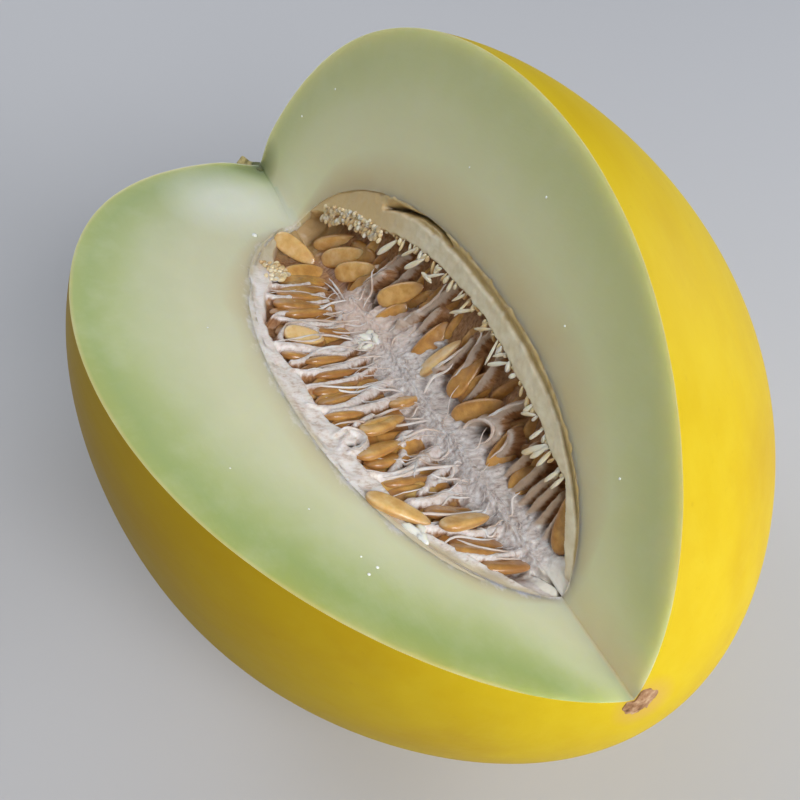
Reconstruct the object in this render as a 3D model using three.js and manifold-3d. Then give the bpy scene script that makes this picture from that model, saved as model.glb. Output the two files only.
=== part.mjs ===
// A whole oval yellow melon with one long wedge cut out, lying on its side.
// The wedge leaves two flat cut faces that meet near the melon's long axis:
// the shelf, which slopes gently, and the wall, which stands steeply.
// The cavity in the middle is full of seeds, pulp strands and a pale ridge.
//
// Lengths are millimetres and angles are degrees. +X runs from the stem end to the
// blossom end, +Z is up, and the origin is on the small flat underneath, straight
// below the middle of the melon's long axis.
import * as THREE from 'three';
import { mergeVertices } from 'three/addons/utils/BufferGeometryUtils.js';
import Module from 'manifold-3d';

const wasm = await Module();
wasm.setup();

// Driving dimensions of the whole fruit.
const HALF_LENGTH = 103;
const WIDEST_RADIUS = 80;
const BLUNTNESS = [0.049, 0.007, 0.094];
const OVALNESS = 0.0247;
const OVAL_TURN = 38;
const LEAN = 23;
const REST_DEPTH = 1.2;

// The missing wedge: where its two faces meet, and how far each opens from upright.
const SEAM = { side: -1.4, height: 6.9 };
const SHELF_ANGLE = 49.4;
const WALL_ANGLE = 49.9;

// The seed cavity and what fills it.
const CAVITY_RADIUS = 38.8;
const CAVITY_MIDDLE = 5;
const CAVITY_TO_STEM = 71;
const CAVITY_TO_BLOSSOM = 73;
const FULLNESS = { stem: 2, blossom: 2.3 };
const GAP = 0.35;
const BAND_WIDTH = 6;
const BAND_DROP = 0.6;
const SEED_BED_DROP = { shelf: 3.4, wall: 7.5 };
const SEED = { length: 12.4, width: 5.2, thickness: 2.3 };
const STRANDS = { count: 14, first: -24, pitch: 6.3, radius: 0.85, bow: 3 };
const PEGS = { count: 24, first: -46, pitch: 4.3, radius: 1, length: 4.2 };
const RIDGE = { from: -32, to: 76, radius: 4.6, drop: 2.6 };

// The dry stub of the stalk and the corky scar at the other end.
const STUB = { base: [-101.2, -3, 3.4], tip: [-106.6, -6, 7.6], baseRadius: 2.6, tipRadius: 1.9 };
const SCAR = { radius: 4.2, height: 0.2, up: 3.6 };

const LENGTHWISE_STEPS = 30;
const ROUND_STEPS = 52;
const CAVITY_STEPS = 20;
const CAVITY_ROUND_STEPS = 32;

const radians = THREE.MathUtils.degToRad;
// How far the leaning oval section reaches below its middle, and so how high that stands.
const REST_REACH = WIDEST_RADIUS * Math.hypot(
  (1 + OVALNESS) * Math.cos(radians(LEAN + OVAL_TURN)),
  (1 - OVALNESS) * Math.sin(radians(LEAN + OVAL_TURN)),
);
const CENTRE_HEIGHT = REST_REACH - REST_DEPTH;

// Repeatable unevenness between -1 and 1 for item number i.
function uneven(i, kind) {
  const wave = Math.sin(i * 12.9898 + kind * 78.233) * 43758.5453;
  return 2 * (wave - Math.floor(wave)) - 1;
}

// A closed solid from a geometry whose touching corners are joined first.
function solid(geometry) {
  const bare = geometry.clone();
  bare.deleteAttribute('normal');
  bare.deleteAttribute('uv');
  const joined = mergeVertices(bare, 1e-4);
  const corners = joined.index.array;
  const kept = [];
  for (let i = 0; i < corners.length; i += 3) {
    const [a, b, c] = [corners[i], corners[i + 1], corners[i + 2]];
    if (a !== b && b !== c && c !== a) kept.push(a, b, c);
  }
  return new wasm.Manifold(new wasm.Mesh({
    numProp: 3,
    vertProperties: new Float32Array(joined.attributes.position.array),
    triVerts: new Uint32Array(kept),
  }));
}

function joinAll(solids) {
  return solids.reduce((whole, next) => whole.add(next));
}

function geometryOf(body) {
  const mesh = body.getMesh();
  const geometry = new THREE.BufferGeometry();
  geometry.setAttribute('position', new THREE.BufferAttribute(mesh.vertProperties, 3));
  geometry.setIndex(new THREE.BufferAttribute(mesh.triVerts, 1));
  return geometry;
}

// A body of revolution about the melon's long axis; radiusAt gives [x, radius] from 0 to 1.
function turned(radiusAt, steps, roundSteps) {
  const outline = [];
  for (let i = 0; i <= steps; i += 1) {
    const [x, radius] = radiusAt(i / steps);
    outline.push(new THREE.Vector2(i === 0 || i === steps ? 0 : radius, x));
  }
  return new THREE.LatheGeometry(outline, roundSteps).rotateZ(-Math.PI / 2);
}

// The whole fruit: blunter at the stem end, more pointed at the blossom end, slightly oval.
// Growth thickens it all round.
function wholeFruit(growth) {
  const skin = turned((part) => {
    const angle = Math.PI * part;
    const c = Math.cos(angle);
    const taper = 1 + BLUNTNESS[0] * c + BLUNTNESS[1] * c ** 2 + BLUNTNESS[2] * c ** 3;
    return [-(HALF_LENGTH + growth) * c, (WIDEST_RADIUS + growth) * Math.sin(angle) * taper];
  }, LENGTHWISE_STEPS, ROUND_STEPS);
  skin.scale(1, 1 - OVALNESS, 1 + OVALNESS);
  return solid(skin.rotateX(radians(OVAL_TURN)));
}

// The seed cavity, drawn in by inset all round.
function cavity(inset) {
  return solid(turned((part) => {
    const across = Math.cos(Math.PI * part);
    const toStem = CAVITY_TO_STEM - inset;
    const toBlossom = CAVITY_TO_BLOSSOM - inset;
    const reach = across > 0 ? toStem : toBlossom;
    const fullness = across > 0 ? FULLNESS.stem : FULLNESS.blossom;
    const radius = (CAVITY_RADIUS - inset) * Math.sqrt(1 - Math.abs(across) ** fullness);
    return [CAVITY_MIDDLE - reach * across, radius];
  }, CAVITY_STEPS, CAVITY_ROUND_STEPS));
}

// How far the cavity's edge is from the seam on a cut face, at x along the melon.
function cavityEdge(x) {
  const reach = x < CAVITY_MIDDLE ? CAVITY_TO_STEM : CAVITY_TO_BLOSSOM;
  const fullness = x < CAVITY_MIDDLE ? FULLNESS.stem : FULLNESS.blossom;
  const across = Math.min(1, Math.abs(x - CAVITY_MIDDLE) / reach);
  const seamOffset = 0.65 * SEAM.height;
  return Math.max(0, CAVITY_RADIUS * Math.sqrt(1 - across ** fullness) - seamOffset);
}

// The way out of the flesh on a cut face that opens by angle from upright: across and up.
function upward(angle) {
  return new THREE.Vector2(-Math.sign(angle) * Math.cos(radians(angle)), Math.sin(radians(Math.abs(angle))));
}

// The wedge that was taken out, with its shelf and wall faces sunk into the flesh.
function wedge(shelfDrop, wallDrop) {
  const reach = 2 * WIDEST_RADIUS;
  const mouth = new THREE.Shape();
  mouth.moveTo(0, 0);
  mouth.lineTo(reach * Math.sin(radians(WALL_ANGLE)), reach * Math.cos(radians(WALL_ANGLE)));
  mouth.lineTo(-reach * Math.sin(radians(SHELF_ANGLE)), reach * Math.cos(radians(SHELF_ANGLE)));
  const depth = 2.4 * HALF_LENGTH;
  const shape = new THREE.ExtrudeGeometry(mouth, { depth, bevelEnabled: false });
  shape.translate(0, 0, -depth / 2);
  shape.rotateY(Math.PI / 2).rotateX(Math.PI / 2);
  const { x: shelfSide, y: shelfUp } = upward(-SHELF_ANGLE);
  const { x: wallSide, y: wallUp } = upward(WALL_ANGLE);
  const spread = shelfSide * wallUp - wallSide * shelfUp;
  const side = (wallDrop * shelfUp - shelfDrop * wallUp) / spread;
  const down = (shelfDrop * wallSide - wallDrop * shelfSide) / spread;
  return solid(shape.translate(0, SEAM.side + side, SEAM.height + down));
}

// Axes of a cut face: out from the seam along the face, and up out of the flesh.
const FACES = {
  shelf: {
    out: new THREE.Vector3(0, -Math.sin(radians(SHELF_ANGLE)), Math.cos(radians(SHELF_ANGLE))),
    up: new THREE.Vector3(0, Math.cos(radians(SHELF_ANGLE)), Math.sin(radians(SHELF_ANGLE))),
  },
  wall: {
    out: new THREE.Vector3(0, Math.sin(radians(WALL_ANGLE)), Math.cos(radians(WALL_ANGLE))),
    up: new THREE.Vector3(0, -Math.cos(radians(WALL_ANGLE)), Math.sin(radians(WALL_ANGLE))),
  },
};

// A point on a cut face: x along the melon, out from the seam, up from the face.
function onFace(face, [x, out, up]) {
  const point = new THREE.Vector3(x, SEAM.side, SEAM.height);
  return point.addScaledVector(FACES[face].out, out).addScaledVector(FACES[face].up, up);
}

// A flat oval seed between two points of a face. Its roll is 0 edge-on and 90 flat-on.
function seed(face, from, to, roll) {
  const start = onFace(face, from);
  const end = onFace(face, to);
  const long = end.clone().sub(start).normalize();
  const side = long.clone().cross(FACES[face].up).normalize();
  const raised = side.clone().cross(long);
  const thin = side.clone().multiplyScalar(Math.cos(radians(roll)));
  thin.addScaledVector(raised, Math.sin(radians(roll)));
  const wide = thin.clone().cross(long);
  const length = start.distanceTo(end);
  const shape = new THREE.SphereGeometry(0.5, 6, 4);
  shape.rotateX(Math.PI / 2).rotateY(Math.PI / 2);
  shape.scale(length, SEED.width, SEED.thickness);
  const middle = start.add(end).multiplyScalar(0.5);
  shape.applyMatrix4(new THREE.Matrix4().makeBasis(long, wide, thin).setPosition(middle));
  return solid(shape);
}

// The seeds that stand out singly: face, one end, other end and roll.
const LOOSE_SEEDS = [
  ['shelf', [-60, 9, 0.8], [-50, 4, -3], 80],
  ['shelf', [-47, 2, -2], [-41, 13, -2], 65],
  ['shelf', [-16, 15, -2], [-14, 25, -1], 75],
  ['shelf', [-16, 6, -2], [-15, 15, -3], 60],
  ['shelf', [-31, 16, -2], [-27, 24, -1.5], 50],
  ['shelf', [16.5, 7, -0.5], [24.5, 20, -0.5], 25],
  ['shelf', [18, 11, -1.5], [22, 20, -1], 35],
  ['shelf', [9, 2, -0.8], [14, 7, -1.6], 50],
  ['shelf', [28, 12, -1], [30, 26, -1], 20],
  ['shelf', [42.5, 28.5, 0], [51.5, 17.5, 0], 70],
  ['shelf', [52.5, 4.5, -0.2], [53.5, 16.5, -0.2], 45],
  ['shelf', [60, 5, -1.5], [59.5, 16, -1.5], 35],
  ['shelf', [66, 2.5, -1.5], [65.5, 12, -1.5], 55],
  ['wall', [-57, 0, -3], [-49.5, 8, -8], 60],
  ['wall', [-51, -0.5, -3], [-42.5, 8, -8.5], 65],
  ['wall', [-41, 0.5, -1], [-34, 8.5, -6.5], 75],
  ['wall', [-33.5, -1, -2], [-33, 10, -8], 45],
  ['wall', [-17, -0.5, -1], [-14, 8, -5], 75],
  ['wall', [-20, 4, -1.5], [-15, 16, -8], 70],
  ['wall', [-1.5, 3, -2], [-1, 14.5, -8], 80],
  ['wall', [7, 3.5, -1], [8.5, 15, -7], 40],
  ['wall', [17.5, 4, -2], [15.5, 15, -8], 70],
  ['wall', [19, 5, -5], [20.5, 14.5, -9.5], 60],
  ['wall', [23, 4, -2.2], [27, 13.5, -8.4], 65],
  ['wall', [29.5, 10, -3], [34, 19, -6], 30],
  ['wall', [40.5, 3, -2], [38, 14, -7.5], 70],
  ['wall', [46.5, 5, -3], [46, 14, -8], 70],
  ['wall', [64.5, 4, -3.5], [58.5, 14.5, -8.5], 60],
];

// Rows of seeds seen edge-on between the strands of the shelf.
const SEED_ROWS = [
  { face: 'shelf', first: -38, last: 60, pitch: 4.6, to: 17.5, up: -2.6, margin: 8 },
  { face: 'shelf', first: -24, last: 44, pitch: 5.2, to: 26, up: -2.4, margin: 7 },
  { face: 'wall', first: -28, last: 56, pitch: 7.5, to: 17, up: -8, margin: 12 },
];

function rowOfSeeds(row, kind) {
  const seeds = [];
  const count = Math.floor((row.last - row.first) / row.pitch);
  for (let i = 0; i <= count; i += 1) {
    const x = row.first + i * row.pitch + 0.8 * uneven(i, kind);
    const slant = 1.5 + 2 * uneven(i, kind + 0.3);
    const shift = 1.2 * uneven(i, kind + 0.6);
    const outer = Math.min(row.to + shift, cavityEdge(x) - row.margin);
    const inner = outer - SEED.length + 1.2;
    if (inner < 3) continue;
    const tilt = 25 + 20 * uneven(i, kind + 0.9);
    seeds.push(seed(row.face, [x - slant, inner, row.up], [x + slant, outer, row.up], tilt));
  }
  return seeds;
}

// Turns a geometry that stands on the origin along +Y so that it runs from root to tip.
function standing(geometry, root, tip) {
  const turn = new THREE.Quaternion();
  turn.setFromUnitVectors(new THREE.Vector3(0, 1, 0), tip.clone().sub(root).normalize());
  return geometry.applyQuaternion(turn).translate(root.x, root.y, root.z);
}

// One pale pulp strand of the shelf, bowed towards the blossom end between its two ends.
function strand(x, i) {
  const outer = cavityEdge(x + 2) - 4;
  const bow = STRANDS.bow + 1.2 * uneven(i, 5);
  const path = new THREE.CatmullRomCurve3([
    onFace('shelf', [x, 2, -1.2]),
    onFace('shelf', [x + bow, 0.55 * outer, -0.9]),
    onFace('shelf', [x + 1.5, outer, -1.4]),
  ]);
  const corners = [0, 1, 2, 3, 4].map((k) => {
    const angle = (2 * Math.PI * k) / 5;
    return new THREE.Vector2(Math.cos(angle), Math.sin(angle)).multiplyScalar(STRANDS.radius);
  });
  const section = new THREE.Shape(corners);
  return solid(new THREE.ExtrudeGeometry(section, { steps: 4, extrudePath: path }));
}

// One torn peg of pulp on the wall's band, pointing in towards the seam.
function peg(x, i) {
  const bandEdge = cavityEdge(x) - BAND_WIDTH;
  const length = PEGS.length + 1.6 * uneven(i, 7);
  const root = onFace('wall', [x, bandEdge + 0.5, -1.8]);
  const tip = onFace('wall', [x - 2.2 + uneven(i, 8), bandEdge - length, -1.2]);
  const span = tip.distanceTo(root);
  const shape = new THREE.CylinderGeometry(0.6 * PEGS.radius, PEGS.radius, span, 4);
  return solid(standing(shape.translate(0, span / 2, 0), root, tip));
}

// The pale lumpy ridge of pulp along the seam, thicker in the middle.
function ridge() {
  const shape = turned((part) => {
    const swell = Math.sqrt(Math.sin(Math.PI * part)) * (1 + 0.08 * Math.sin(31 * part));
    return [RIDGE.from + (RIDGE.to - RIDGE.from) * part, RIDGE.radius * swell];
  }, 16, 8);
  return solid(shape.translate(0, SEAM.side, SEAM.height - RIDGE.drop));
}

// Pulp and seeds: a core that fills the cavity, hollowed below the cut faces and dressed.
function seedCore() {
  const inside = cavity(GAP);
  const bed = cavity(BAND_WIDTH).intersect(wedge(SEED_BED_DROP.shelf, SEED_BED_DROP.wall));
  const core = inside.subtract(wedge(BAND_DROP, BAND_DROP)).subtract(bed);
  const dressing = [ridge()];
  LOOSE_SEEDS.forEach(([face, from, to, roll]) => dressing.push(seed(face, from, to, roll)));
  SEED_ROWS.forEach((row, kind) => dressing.push(...rowOfSeeds(row, kind + 1)));
  for (let i = 0; i < STRANDS.count; i += 1) {
    dressing.push(strand(STRANDS.first + STRANDS.pitch * i + uneven(i, 4), i));
  }
  for (let i = 0; i < PEGS.count; i += 1) {
    dressing.push(peg(PEGS.first + PEGS.pitch * i + uneven(i, 6), i));
  }
  return joinAll([core, ...dressing]).intersect(inside);
}

// Rind and flesh in one: the fruit less the wedge, the cavity and a small flat underneath.
function flesh(ground) {
  const depth = 4;
  const scar = new THREE.CylinderGeometry(SCAR.radius * 0.8, SCAR.radius, depth, 12);
  scar.rotateZ(-Math.PI / 2).translate(HALF_LENGTH + SCAR.height - depth / 2, 0, SCAR.up);
  const fruit = wholeFruit(0).add(solid(scar));
  return fruit.subtract(wedge(0, 0)).subtract(cavity(0)).subtract(ground);
}

// The stalk's dry stub, a short knob standing on the stem end beside the seam.
function stub() {
  const base = new THREE.Vector3(...STUB.base);
  const tip = new THREE.Vector3(...STUB.tip);
  const length = tip.distanceTo(base);
  const profile = [
    new THREE.Vector2(0, 0),
    new THREE.Vector2(STUB.baseRadius, 0),
    new THREE.Vector2(STUB.baseRadius * 0.75, length * 0.45),
    new THREE.Vector2(STUB.tipRadius, length * 0.8),
    new THREE.Vector2(STUB.tipRadius * 0.7, length),
    new THREE.Vector2(0, length * 1.05),
  ];
  const knob = standing(new THREE.LatheGeometry(profile, 12), base, tip);
  return solid(knob).subtract(wholeFruit(GAP));
}

const lie = new THREE.Matrix4().makeRotationX(radians(LEAN)).setPosition(0, 0, CENTRE_HEIGHT);
const stand = lie.clone().invert();

function named(name, body, colour, roughness) {
  const material = new THREE.MeshStandardMaterial({ color: colour, roughness, metalness: 0 });
  const mesh = new THREE.Mesh(geometryOf(body).applyMatrix4(lie), material);
  mesh.name = name;
  return mesh;
}

const groundBlock = new THREE.BoxGeometry(2 * HALF_LENGTH, 2 * WIDEST_RADIUS, 40);
const ground = solid(groundBlock.translate(0, 0, -20).applyMatrix4(stand));

const melon = new THREE.Group();
melon.add(named('melon_flesh', flesh(ground), 0xe6c828, 0.4));
melon.add(named('seed_core', seedCore(), 0xc89a58, 0.45));
melon.add(named('stem_stub', stub(), 0x9a8f4c, 0.8));

export default melon;
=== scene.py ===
from math import cos, hypot, pi, radians, sin

import bpy
import numpy as np
from mathutils import Matrix, Vector, noise


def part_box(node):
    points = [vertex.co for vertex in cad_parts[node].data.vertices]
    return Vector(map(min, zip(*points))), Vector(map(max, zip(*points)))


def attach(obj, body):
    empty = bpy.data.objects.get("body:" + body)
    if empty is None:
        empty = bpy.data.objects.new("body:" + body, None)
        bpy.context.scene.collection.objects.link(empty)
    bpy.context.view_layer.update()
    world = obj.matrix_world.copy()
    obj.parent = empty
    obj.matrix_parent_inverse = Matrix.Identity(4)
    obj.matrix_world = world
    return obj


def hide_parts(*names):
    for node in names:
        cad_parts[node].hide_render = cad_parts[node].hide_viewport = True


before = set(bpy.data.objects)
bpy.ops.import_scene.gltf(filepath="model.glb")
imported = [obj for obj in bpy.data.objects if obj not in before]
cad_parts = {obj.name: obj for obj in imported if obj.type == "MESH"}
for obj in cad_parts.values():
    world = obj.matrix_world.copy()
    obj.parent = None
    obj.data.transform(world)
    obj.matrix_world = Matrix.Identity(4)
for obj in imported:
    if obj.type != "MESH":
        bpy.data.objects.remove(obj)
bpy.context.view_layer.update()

# ---------------------------------------------------------------- camera
# One camera stands above the blossom end and looks down into the cut, as in the photo.
# The melon leans towards its gently sloping cut face. Everything is shaped in millimetres
# about the melon's own long axis, and laid down from there.
MM = 0.001
LEAN = radians(23)
OVALNESS = 0.0247
OVAL_TURN = radians(38)
WIDEST_RADIUS = 80.0
REST_DEPTH = 1.2
CAMERA_PLACE = (177.2, -8.7, 205.6)
CAMERA_AIM = (2.3, -6.1, -2.0)
CAMERA_ROLL = radians(0.2)
LENS = 48.33

rest_reach = WIDEST_RADIUS * hypot(
    (1 + OVALNESS) * cos(LEAN + OVAL_TURN), (1 - OVALNESS) * sin(LEAN + OVAL_TURN))
laid_down = (Matrix.Translation((0, 0, (rest_reach - REST_DEPTH) * MM))
             @ Matrix.Rotation(LEAN, 4, "X") @ Matrix.Scale(MM, 4))
camera_place = laid_down @ Vector(CAMERA_PLACE)
view_line = laid_down @ Vector(CAMERA_AIM) - camera_place
view_turn = view_line.to_track_quat("-Z", "Y").to_matrix().to_4x4()
bpy.ops.object.camera_add()
camera = bpy.context.object
camera.matrix_world = (Matrix.Translation(camera_place) @ view_turn
                       @ Matrix.Rotation(CAMERA_ROLL, 4, "Z"))
camera.data.lens = LENS
camera.data.clip_start = 0.01
bpy.context.scene.camera = camera
bpy.context.scene.view_settings.view_transform = "Standard"

# ---------------------------------------------------------------- floor and light
# A plain pale floor. Five soft windows stand round the melon: the two strongest shine on
# its blossom end, and weaker, cooler ones from the right, the left and the far side.
FLOOR_SIZE = 6.0
WINDOW_SIZE = 0.6
FAR_WINDOW_SIZE = 1.4
bpy.ops.mesh.primitive_plane_add(size=FLOOR_SIZE)
floor = bpy.context.object
floor.name = "floor"
floor_paint = bpy.data.materials.new("pale_floor")
floor_paint.use_nodes = True
floor_shader = floor_paint.node_tree.nodes["Principled BSDF"]
floor_shader.inputs["Base Color"].default_value = (0.56, 0.55, 0.555, 1)
floor_shader.inputs["Roughness"].default_value = 0.7
floor.data.materials.append(floor_paint)


def window(name, place, power, colour, size=WINDOW_SIZE):
    bpy.ops.object.light_add(type="AREA", location=place)
    lamp = bpy.context.object
    lamp.name = name
    lamp.data.size = size
    lamp.data.energy = power
    lamp.data.color = colour
    aim = Vector((0, 0, 0.07)) - Vector(place)
    lamp.rotation_euler = aim.to_track_quat("-Z", "Y").to_euler()


window("near_window", (1.065, 0.0, 0.816), 12.4, (0.99, 1.0, 1.02))
window("side_window", (1.087, 0.628, 0.406), 8.6, (0.99, 1.0, 1.02))
window("right_window", (0.0, 1.222, 0.515), 4.7, (0.91, 1.0, 1.12))
window("far_window", (-1.222, 0.0, 0.715), 6.4, (0.95, 1.0, 1.08), FAR_WINDOW_SIZE)
window("left_window", (-0.796, -0.460, 0.989), 2.7, (0.95, 1.0, 1.05))
sky = bpy.data.worlds.new("soft_room")
bpy.context.scene.world = sky
sky.use_nodes = True
sky.node_tree.nodes["Background"].inputs["Color"].default_value = (0.85, 1.0, 1.2, 1)
sky.node_tree.nodes["Background"].inputs["Strength"].default_value = 0.08

# ---------------------------------------------------------------- the melon's body
# The rind and flesh in one: an egg-shaped fruit, blunter at the stem end, with a wedge and
# the seed cavity cut out of it, and a small flat where it rests. The rind is thin, waxy and
# faintly wrinkled lengthwise; the flesh is wet, green by the rind and white by the seeds.
BLUNTNESS = (0.049, 0.007, 0.094)
SEAM_SIDE = -1.4
SEAM_HEIGHT = 6.9
SHELF_ANGLE = radians(49.4)
WALL_ANGLE = radians(49.9)
SHELF_OUT = np.array([0, -sin(SHELF_ANGLE), cos(SHELF_ANGLE)])
SHELF_UP = np.array([0, cos(SHELF_ANGLE), sin(SHELF_ANGLE)])
WALL_OUT = np.array([0, sin(WALL_ANGLE), cos(WALL_ANGLE)])
WALL_UP = np.array([0, -cos(WALL_ANGLE), sin(WALL_ANGLE)])
SEAM = np.array([0, SEAM_SIDE, SEAM_HEIGHT])
CUT_HALF_LENGTH = 114.0
CUT_REACH = 104.0
# The seam's blunt corner: its height, and how far out it fades.
FILLET = (0.35, 1.2)
# The seam's bend near the stem end: how far, its middle, its length and its reach.
SEAM_BEND = (3.4, -58, 24, 7.0)
CAVITY_RADIUS = 38.8
CAVITY_MIDDLE = 5.0
CAVITY_TO_STEM = 71.0
CAVITY_TO_BLOSSOM = 73.0
STEM_FULLNESS = 2.0
BLOSSOM_FULLNESS = 2.3
SCAR_PLACE = (103.0, 0.0, 4.0)
STALK_PLACE = (-99.5, -3.0, 6.0)
# The hollow round the stalk: its depth and its radius.
STALK_DIMPLE = (3.0, 7.5)
GREEN_PATCH = (-98.5, -1.6, 6.9)
# Where the shelf flesh is painted near-white as a painted sheen of wet flesh.
PAINTED_SHEEN_PATCH = (-78, -14, 19)
LID_LIFT = 90
LID_HEIGHT = 190
half_length = -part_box("melon_flesh")[0].x / MM


def select_only(piece):
    bpy.ops.object.select_all(action="DESELECT")
    piece.select_set(True)
    bpy.context.view_layer.objects.active = piece


def lay_down(piece):
    piece.data.transform(laid_down)
    piece.data.update()


def places_of(piece):
    places = np.empty(3 * len(piece.data.vertices))
    piece.data.vertices.foreach_get("co", places)
    return places.reshape(-1, 3)


def reshape(piece, rule):
    """Moves every corner of a piece to where the rule sends it."""
    piece.data.vertices.foreach_set("co", rule(places_of(piece)).ravel())
    piece.data.update()


def mark(piece, name, values):
    """Keeps one number for each corner, which a material reads by name."""
    layer = piece.data.attributes.new(name, "FLOAT", "POINT")
    layer.data.foreach_set("value", np.asarray(values, np.float32))


def waves(places, scale, seed=0.0):
    """Soft unevenness from about -1 to 1 at each place, scale millimetres across."""
    shifted = (places + 137.0 * seed) / scale
    return np.array([noise.noise(Vector(p)) for p in shifted])


def rind_radius(along):
    """Radius of the fruit at along, from -1 at the stem end to 1 at the blossom end."""
    taper = 1 - BLUNTNESS[0] * along + BLUNTNESS[1] * along ** 2 - BLUNTNESS[2] * along ** 3
    return WIDEST_RADIUS * np.sqrt(np.maximum(0, 1 - along ** 2)) * taper


def oval(y, z, way=1):
    """Presses a round section slightly oval, or with way -1 makes it round again."""
    c, s = cos(OVAL_TURN), sin(OVAL_TURN)
    if way > 0:
        y, z = y * (1 - OVALNESS), z * (1 + OVALNESS)
        return y * c - z * s, y * s + z * c
    y, z = y * c + z * s, -y * s + z * c
    return y / (1 - OVALNESS), z / (1 + OVALNESS)


def fruit_rule(places):
    """Turns a ball into the whole fruit, faintly ribbed, with a dimple round the stalk."""
    along = np.clip(places[:, 2], -1, 1)
    ring = np.hypot(places[:, 0], places[:, 1]) + 1e-9
    turn = np.arctan2(places[:, 1], places[:, 0])
    radius = rind_radius(along)
    ribs = 0.0022 * (np.cos(10 * turn) - 1) * (1 - along ** 4)
    dents = 0.0030 * (waves(places * 40, 26) - 1)
    radius *= 1 + ribs + dents
    y, z = oval(radius * places[:, 0] / ring, radius * places[:, 1] / ring)
    from_stalk = np.hypot(y - STALK_PLACE[1], z - STALK_PLACE[2])
    dimple = STALK_DIMPLE[0] * np.exp(-(from_stalk / STALK_DIMPLE[1]) ** 2) * (along < 0)
    return np.column_stack([half_length * along + dimple, y, z])


def cavity_radius(x, inset=0.0):
    """Radius of the seed cavity at x along the melon."""
    toward_stem = x < CAVITY_MIDDLE
    reach = np.where(toward_stem, CAVITY_TO_STEM, CAVITY_TO_BLOSSOM) - inset
    fullness = np.where(toward_stem, STEM_FULLNESS, BLOSSOM_FULLNESS)
    across = np.minimum(1, np.abs(x - CAVITY_MIDDLE) / reach)
    return (CAVITY_RADIUS - inset) * np.sqrt(1 - across ** fullness)


def cavity_edge(x, inset=0.0):
    """How far the cavity's edge lies from the seam on a cut face."""
    return np.maximum(0, cavity_radius(x, inset) - 0.65 * SEAM_HEIGHT)


def cavity_rule(inset, raggedness):
    """A rule that turns a ball into the seed cavity, with its wall torn a little."""
    def rule(places):
        along = np.clip(places[:, 2], -1, 1)
        ring = np.hypot(places[:, 0], places[:, 1]) + 1e-9
        reach = np.where(along < 0, CAVITY_TO_STEM, CAVITY_TO_BLOSSOM) - inset
        x = CAVITY_MIDDLE + reach * along
        radius = cavity_radius(x, inset)
        y, z = places[:, 0] / ring, places[:, 1] / ring
        around = np.column_stack([x, radius * y, radius * z])
        torn = 0.6 * waves(around, 6.5) + 0.4 * waves(around, 2.6, 1)
        radius = np.maximum(0, radius + raggedness * torn * np.where(y > 0, 1, 0.5))
        return np.column_stack([x, radius * y, radius * z])
    return rule


def seam_bow(x, out):
    """How the seam bends towards the shelf near the stem end."""
    most, middle, length, reach = SEAM_BEND
    bow = most * np.exp(-((x - middle) / length) ** 2) * np.exp(-out / reach)
    return bow[:, None] * SHELF_OUT


def seam_fillet(out):
    """How the blunt corner along the seam stands up."""
    return FILLET[0] * np.exp(-(out / FILLET[1]) ** 2)[:, None] * np.array([0, 0, 1.0])


def cut_swell(spot):
    """How far the knife left each place of a cut face above or below true."""
    return 0.14 * (waves(spot, 22, 2) + 0.35 * waves(spot, 7, 3))


def cut_rule(places):
    """Folds a flat grid into the two cut faces, which meet at the seam."""
    x = CUT_HALF_LENGTH * places[:, 0]
    out = CUT_REACH * np.abs(places[:, 1]) ** 1.15
    on_wall = (places[:, 1] > 0)[:, None]
    flat = np.where(on_wall, out[:, None] * WALL_OUT, out[:, None] * SHELF_OUT)
    up = np.where(on_wall, WALL_UP, SHELF_UP)
    spot = SEAM + flat + x[:, None] * np.array([1, 0, 0])
    return spot + up * cut_swell(spot)[:, None] + seam_bow(x, out) + seam_fillet(out)


def round_block(name, segments, rings, rule):
    """A closed ball shaped by a rule."""
    bpy.ops.mesh.primitive_uv_sphere_add(segments=segments, ring_count=rings, radius=1)
    block = bpy.context.object
    block.name = name
    bpy.ops.object.shade_smooth()
    reshape(block, rule)
    return block


def sheet_block(name, steps, rule):
    """A sheet shaped by a rule, and closed by walls up to a flat lid far above it."""
    bpy.ops.mesh.primitive_grid_add(x_subdivisions=steps[0], y_subdivisions=steps[1], size=2)
    block = bpy.context.object
    block.name = name
    bpy.ops.object.shade_smooth()
    reshape(block, rule)
    select_only(block)
    bpy.ops.object.mode_set(mode="EDIT")
    bpy.ops.mesh.select_mode(type="EDGE")
    bpy.ops.mesh.select_all(action="DESELECT")
    bpy.ops.mesh.select_non_manifold()
    bpy.ops.mesh.extrude_region_move(TRANSFORM_OT_translate={"value": (0, 0, LID_LIFT)})
    bpy.ops.transform.resize(value=(1, 1, 0), center_override=(0, 0, LID_HEIGHT))
    bpy.ops.mesh.edge_face_add()
    bpy.ops.mesh.select_all(action="SELECT")
    bpy.ops.mesh.normals_make_consistent(inside=False)
    bpy.ops.object.mode_set(mode="OBJECT")
    return block


def carve(piece, cutter):
    """Cuts one closed piece out of another."""
    select_only(piece)
    change = piece.modifiers.new("carve", "BOOLEAN")
    change.operation = "DIFFERENCE"
    change.solver = "MANIFOLD"
    change.object = cutter
    bpy.ops.object.modifier_apply(modifier=change.name)
    bpy.data.objects.remove(cutter)


def depth_below_rind(places):
    """Shortest distance in millimetres from each place to the outside of the fruit."""
    y, z = oval(places[:, 1], places[:, 2], -1)
    ring = np.hypot(y, z)
    angles = np.linspace(0, pi, 721)
    line_x = -half_length * np.cos(angles)
    line_r = rind_radius(-np.cos(angles))
    found = np.empty(len(places))
    for start in range(0, len(places), 4000):
        part = slice(start, start + 4000)
        gap = np.hypot(places[part, 0][:, None] - line_x, ring[part][:, None] - line_r)
        found[part] = gap.min(axis=1)
    return found


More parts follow.
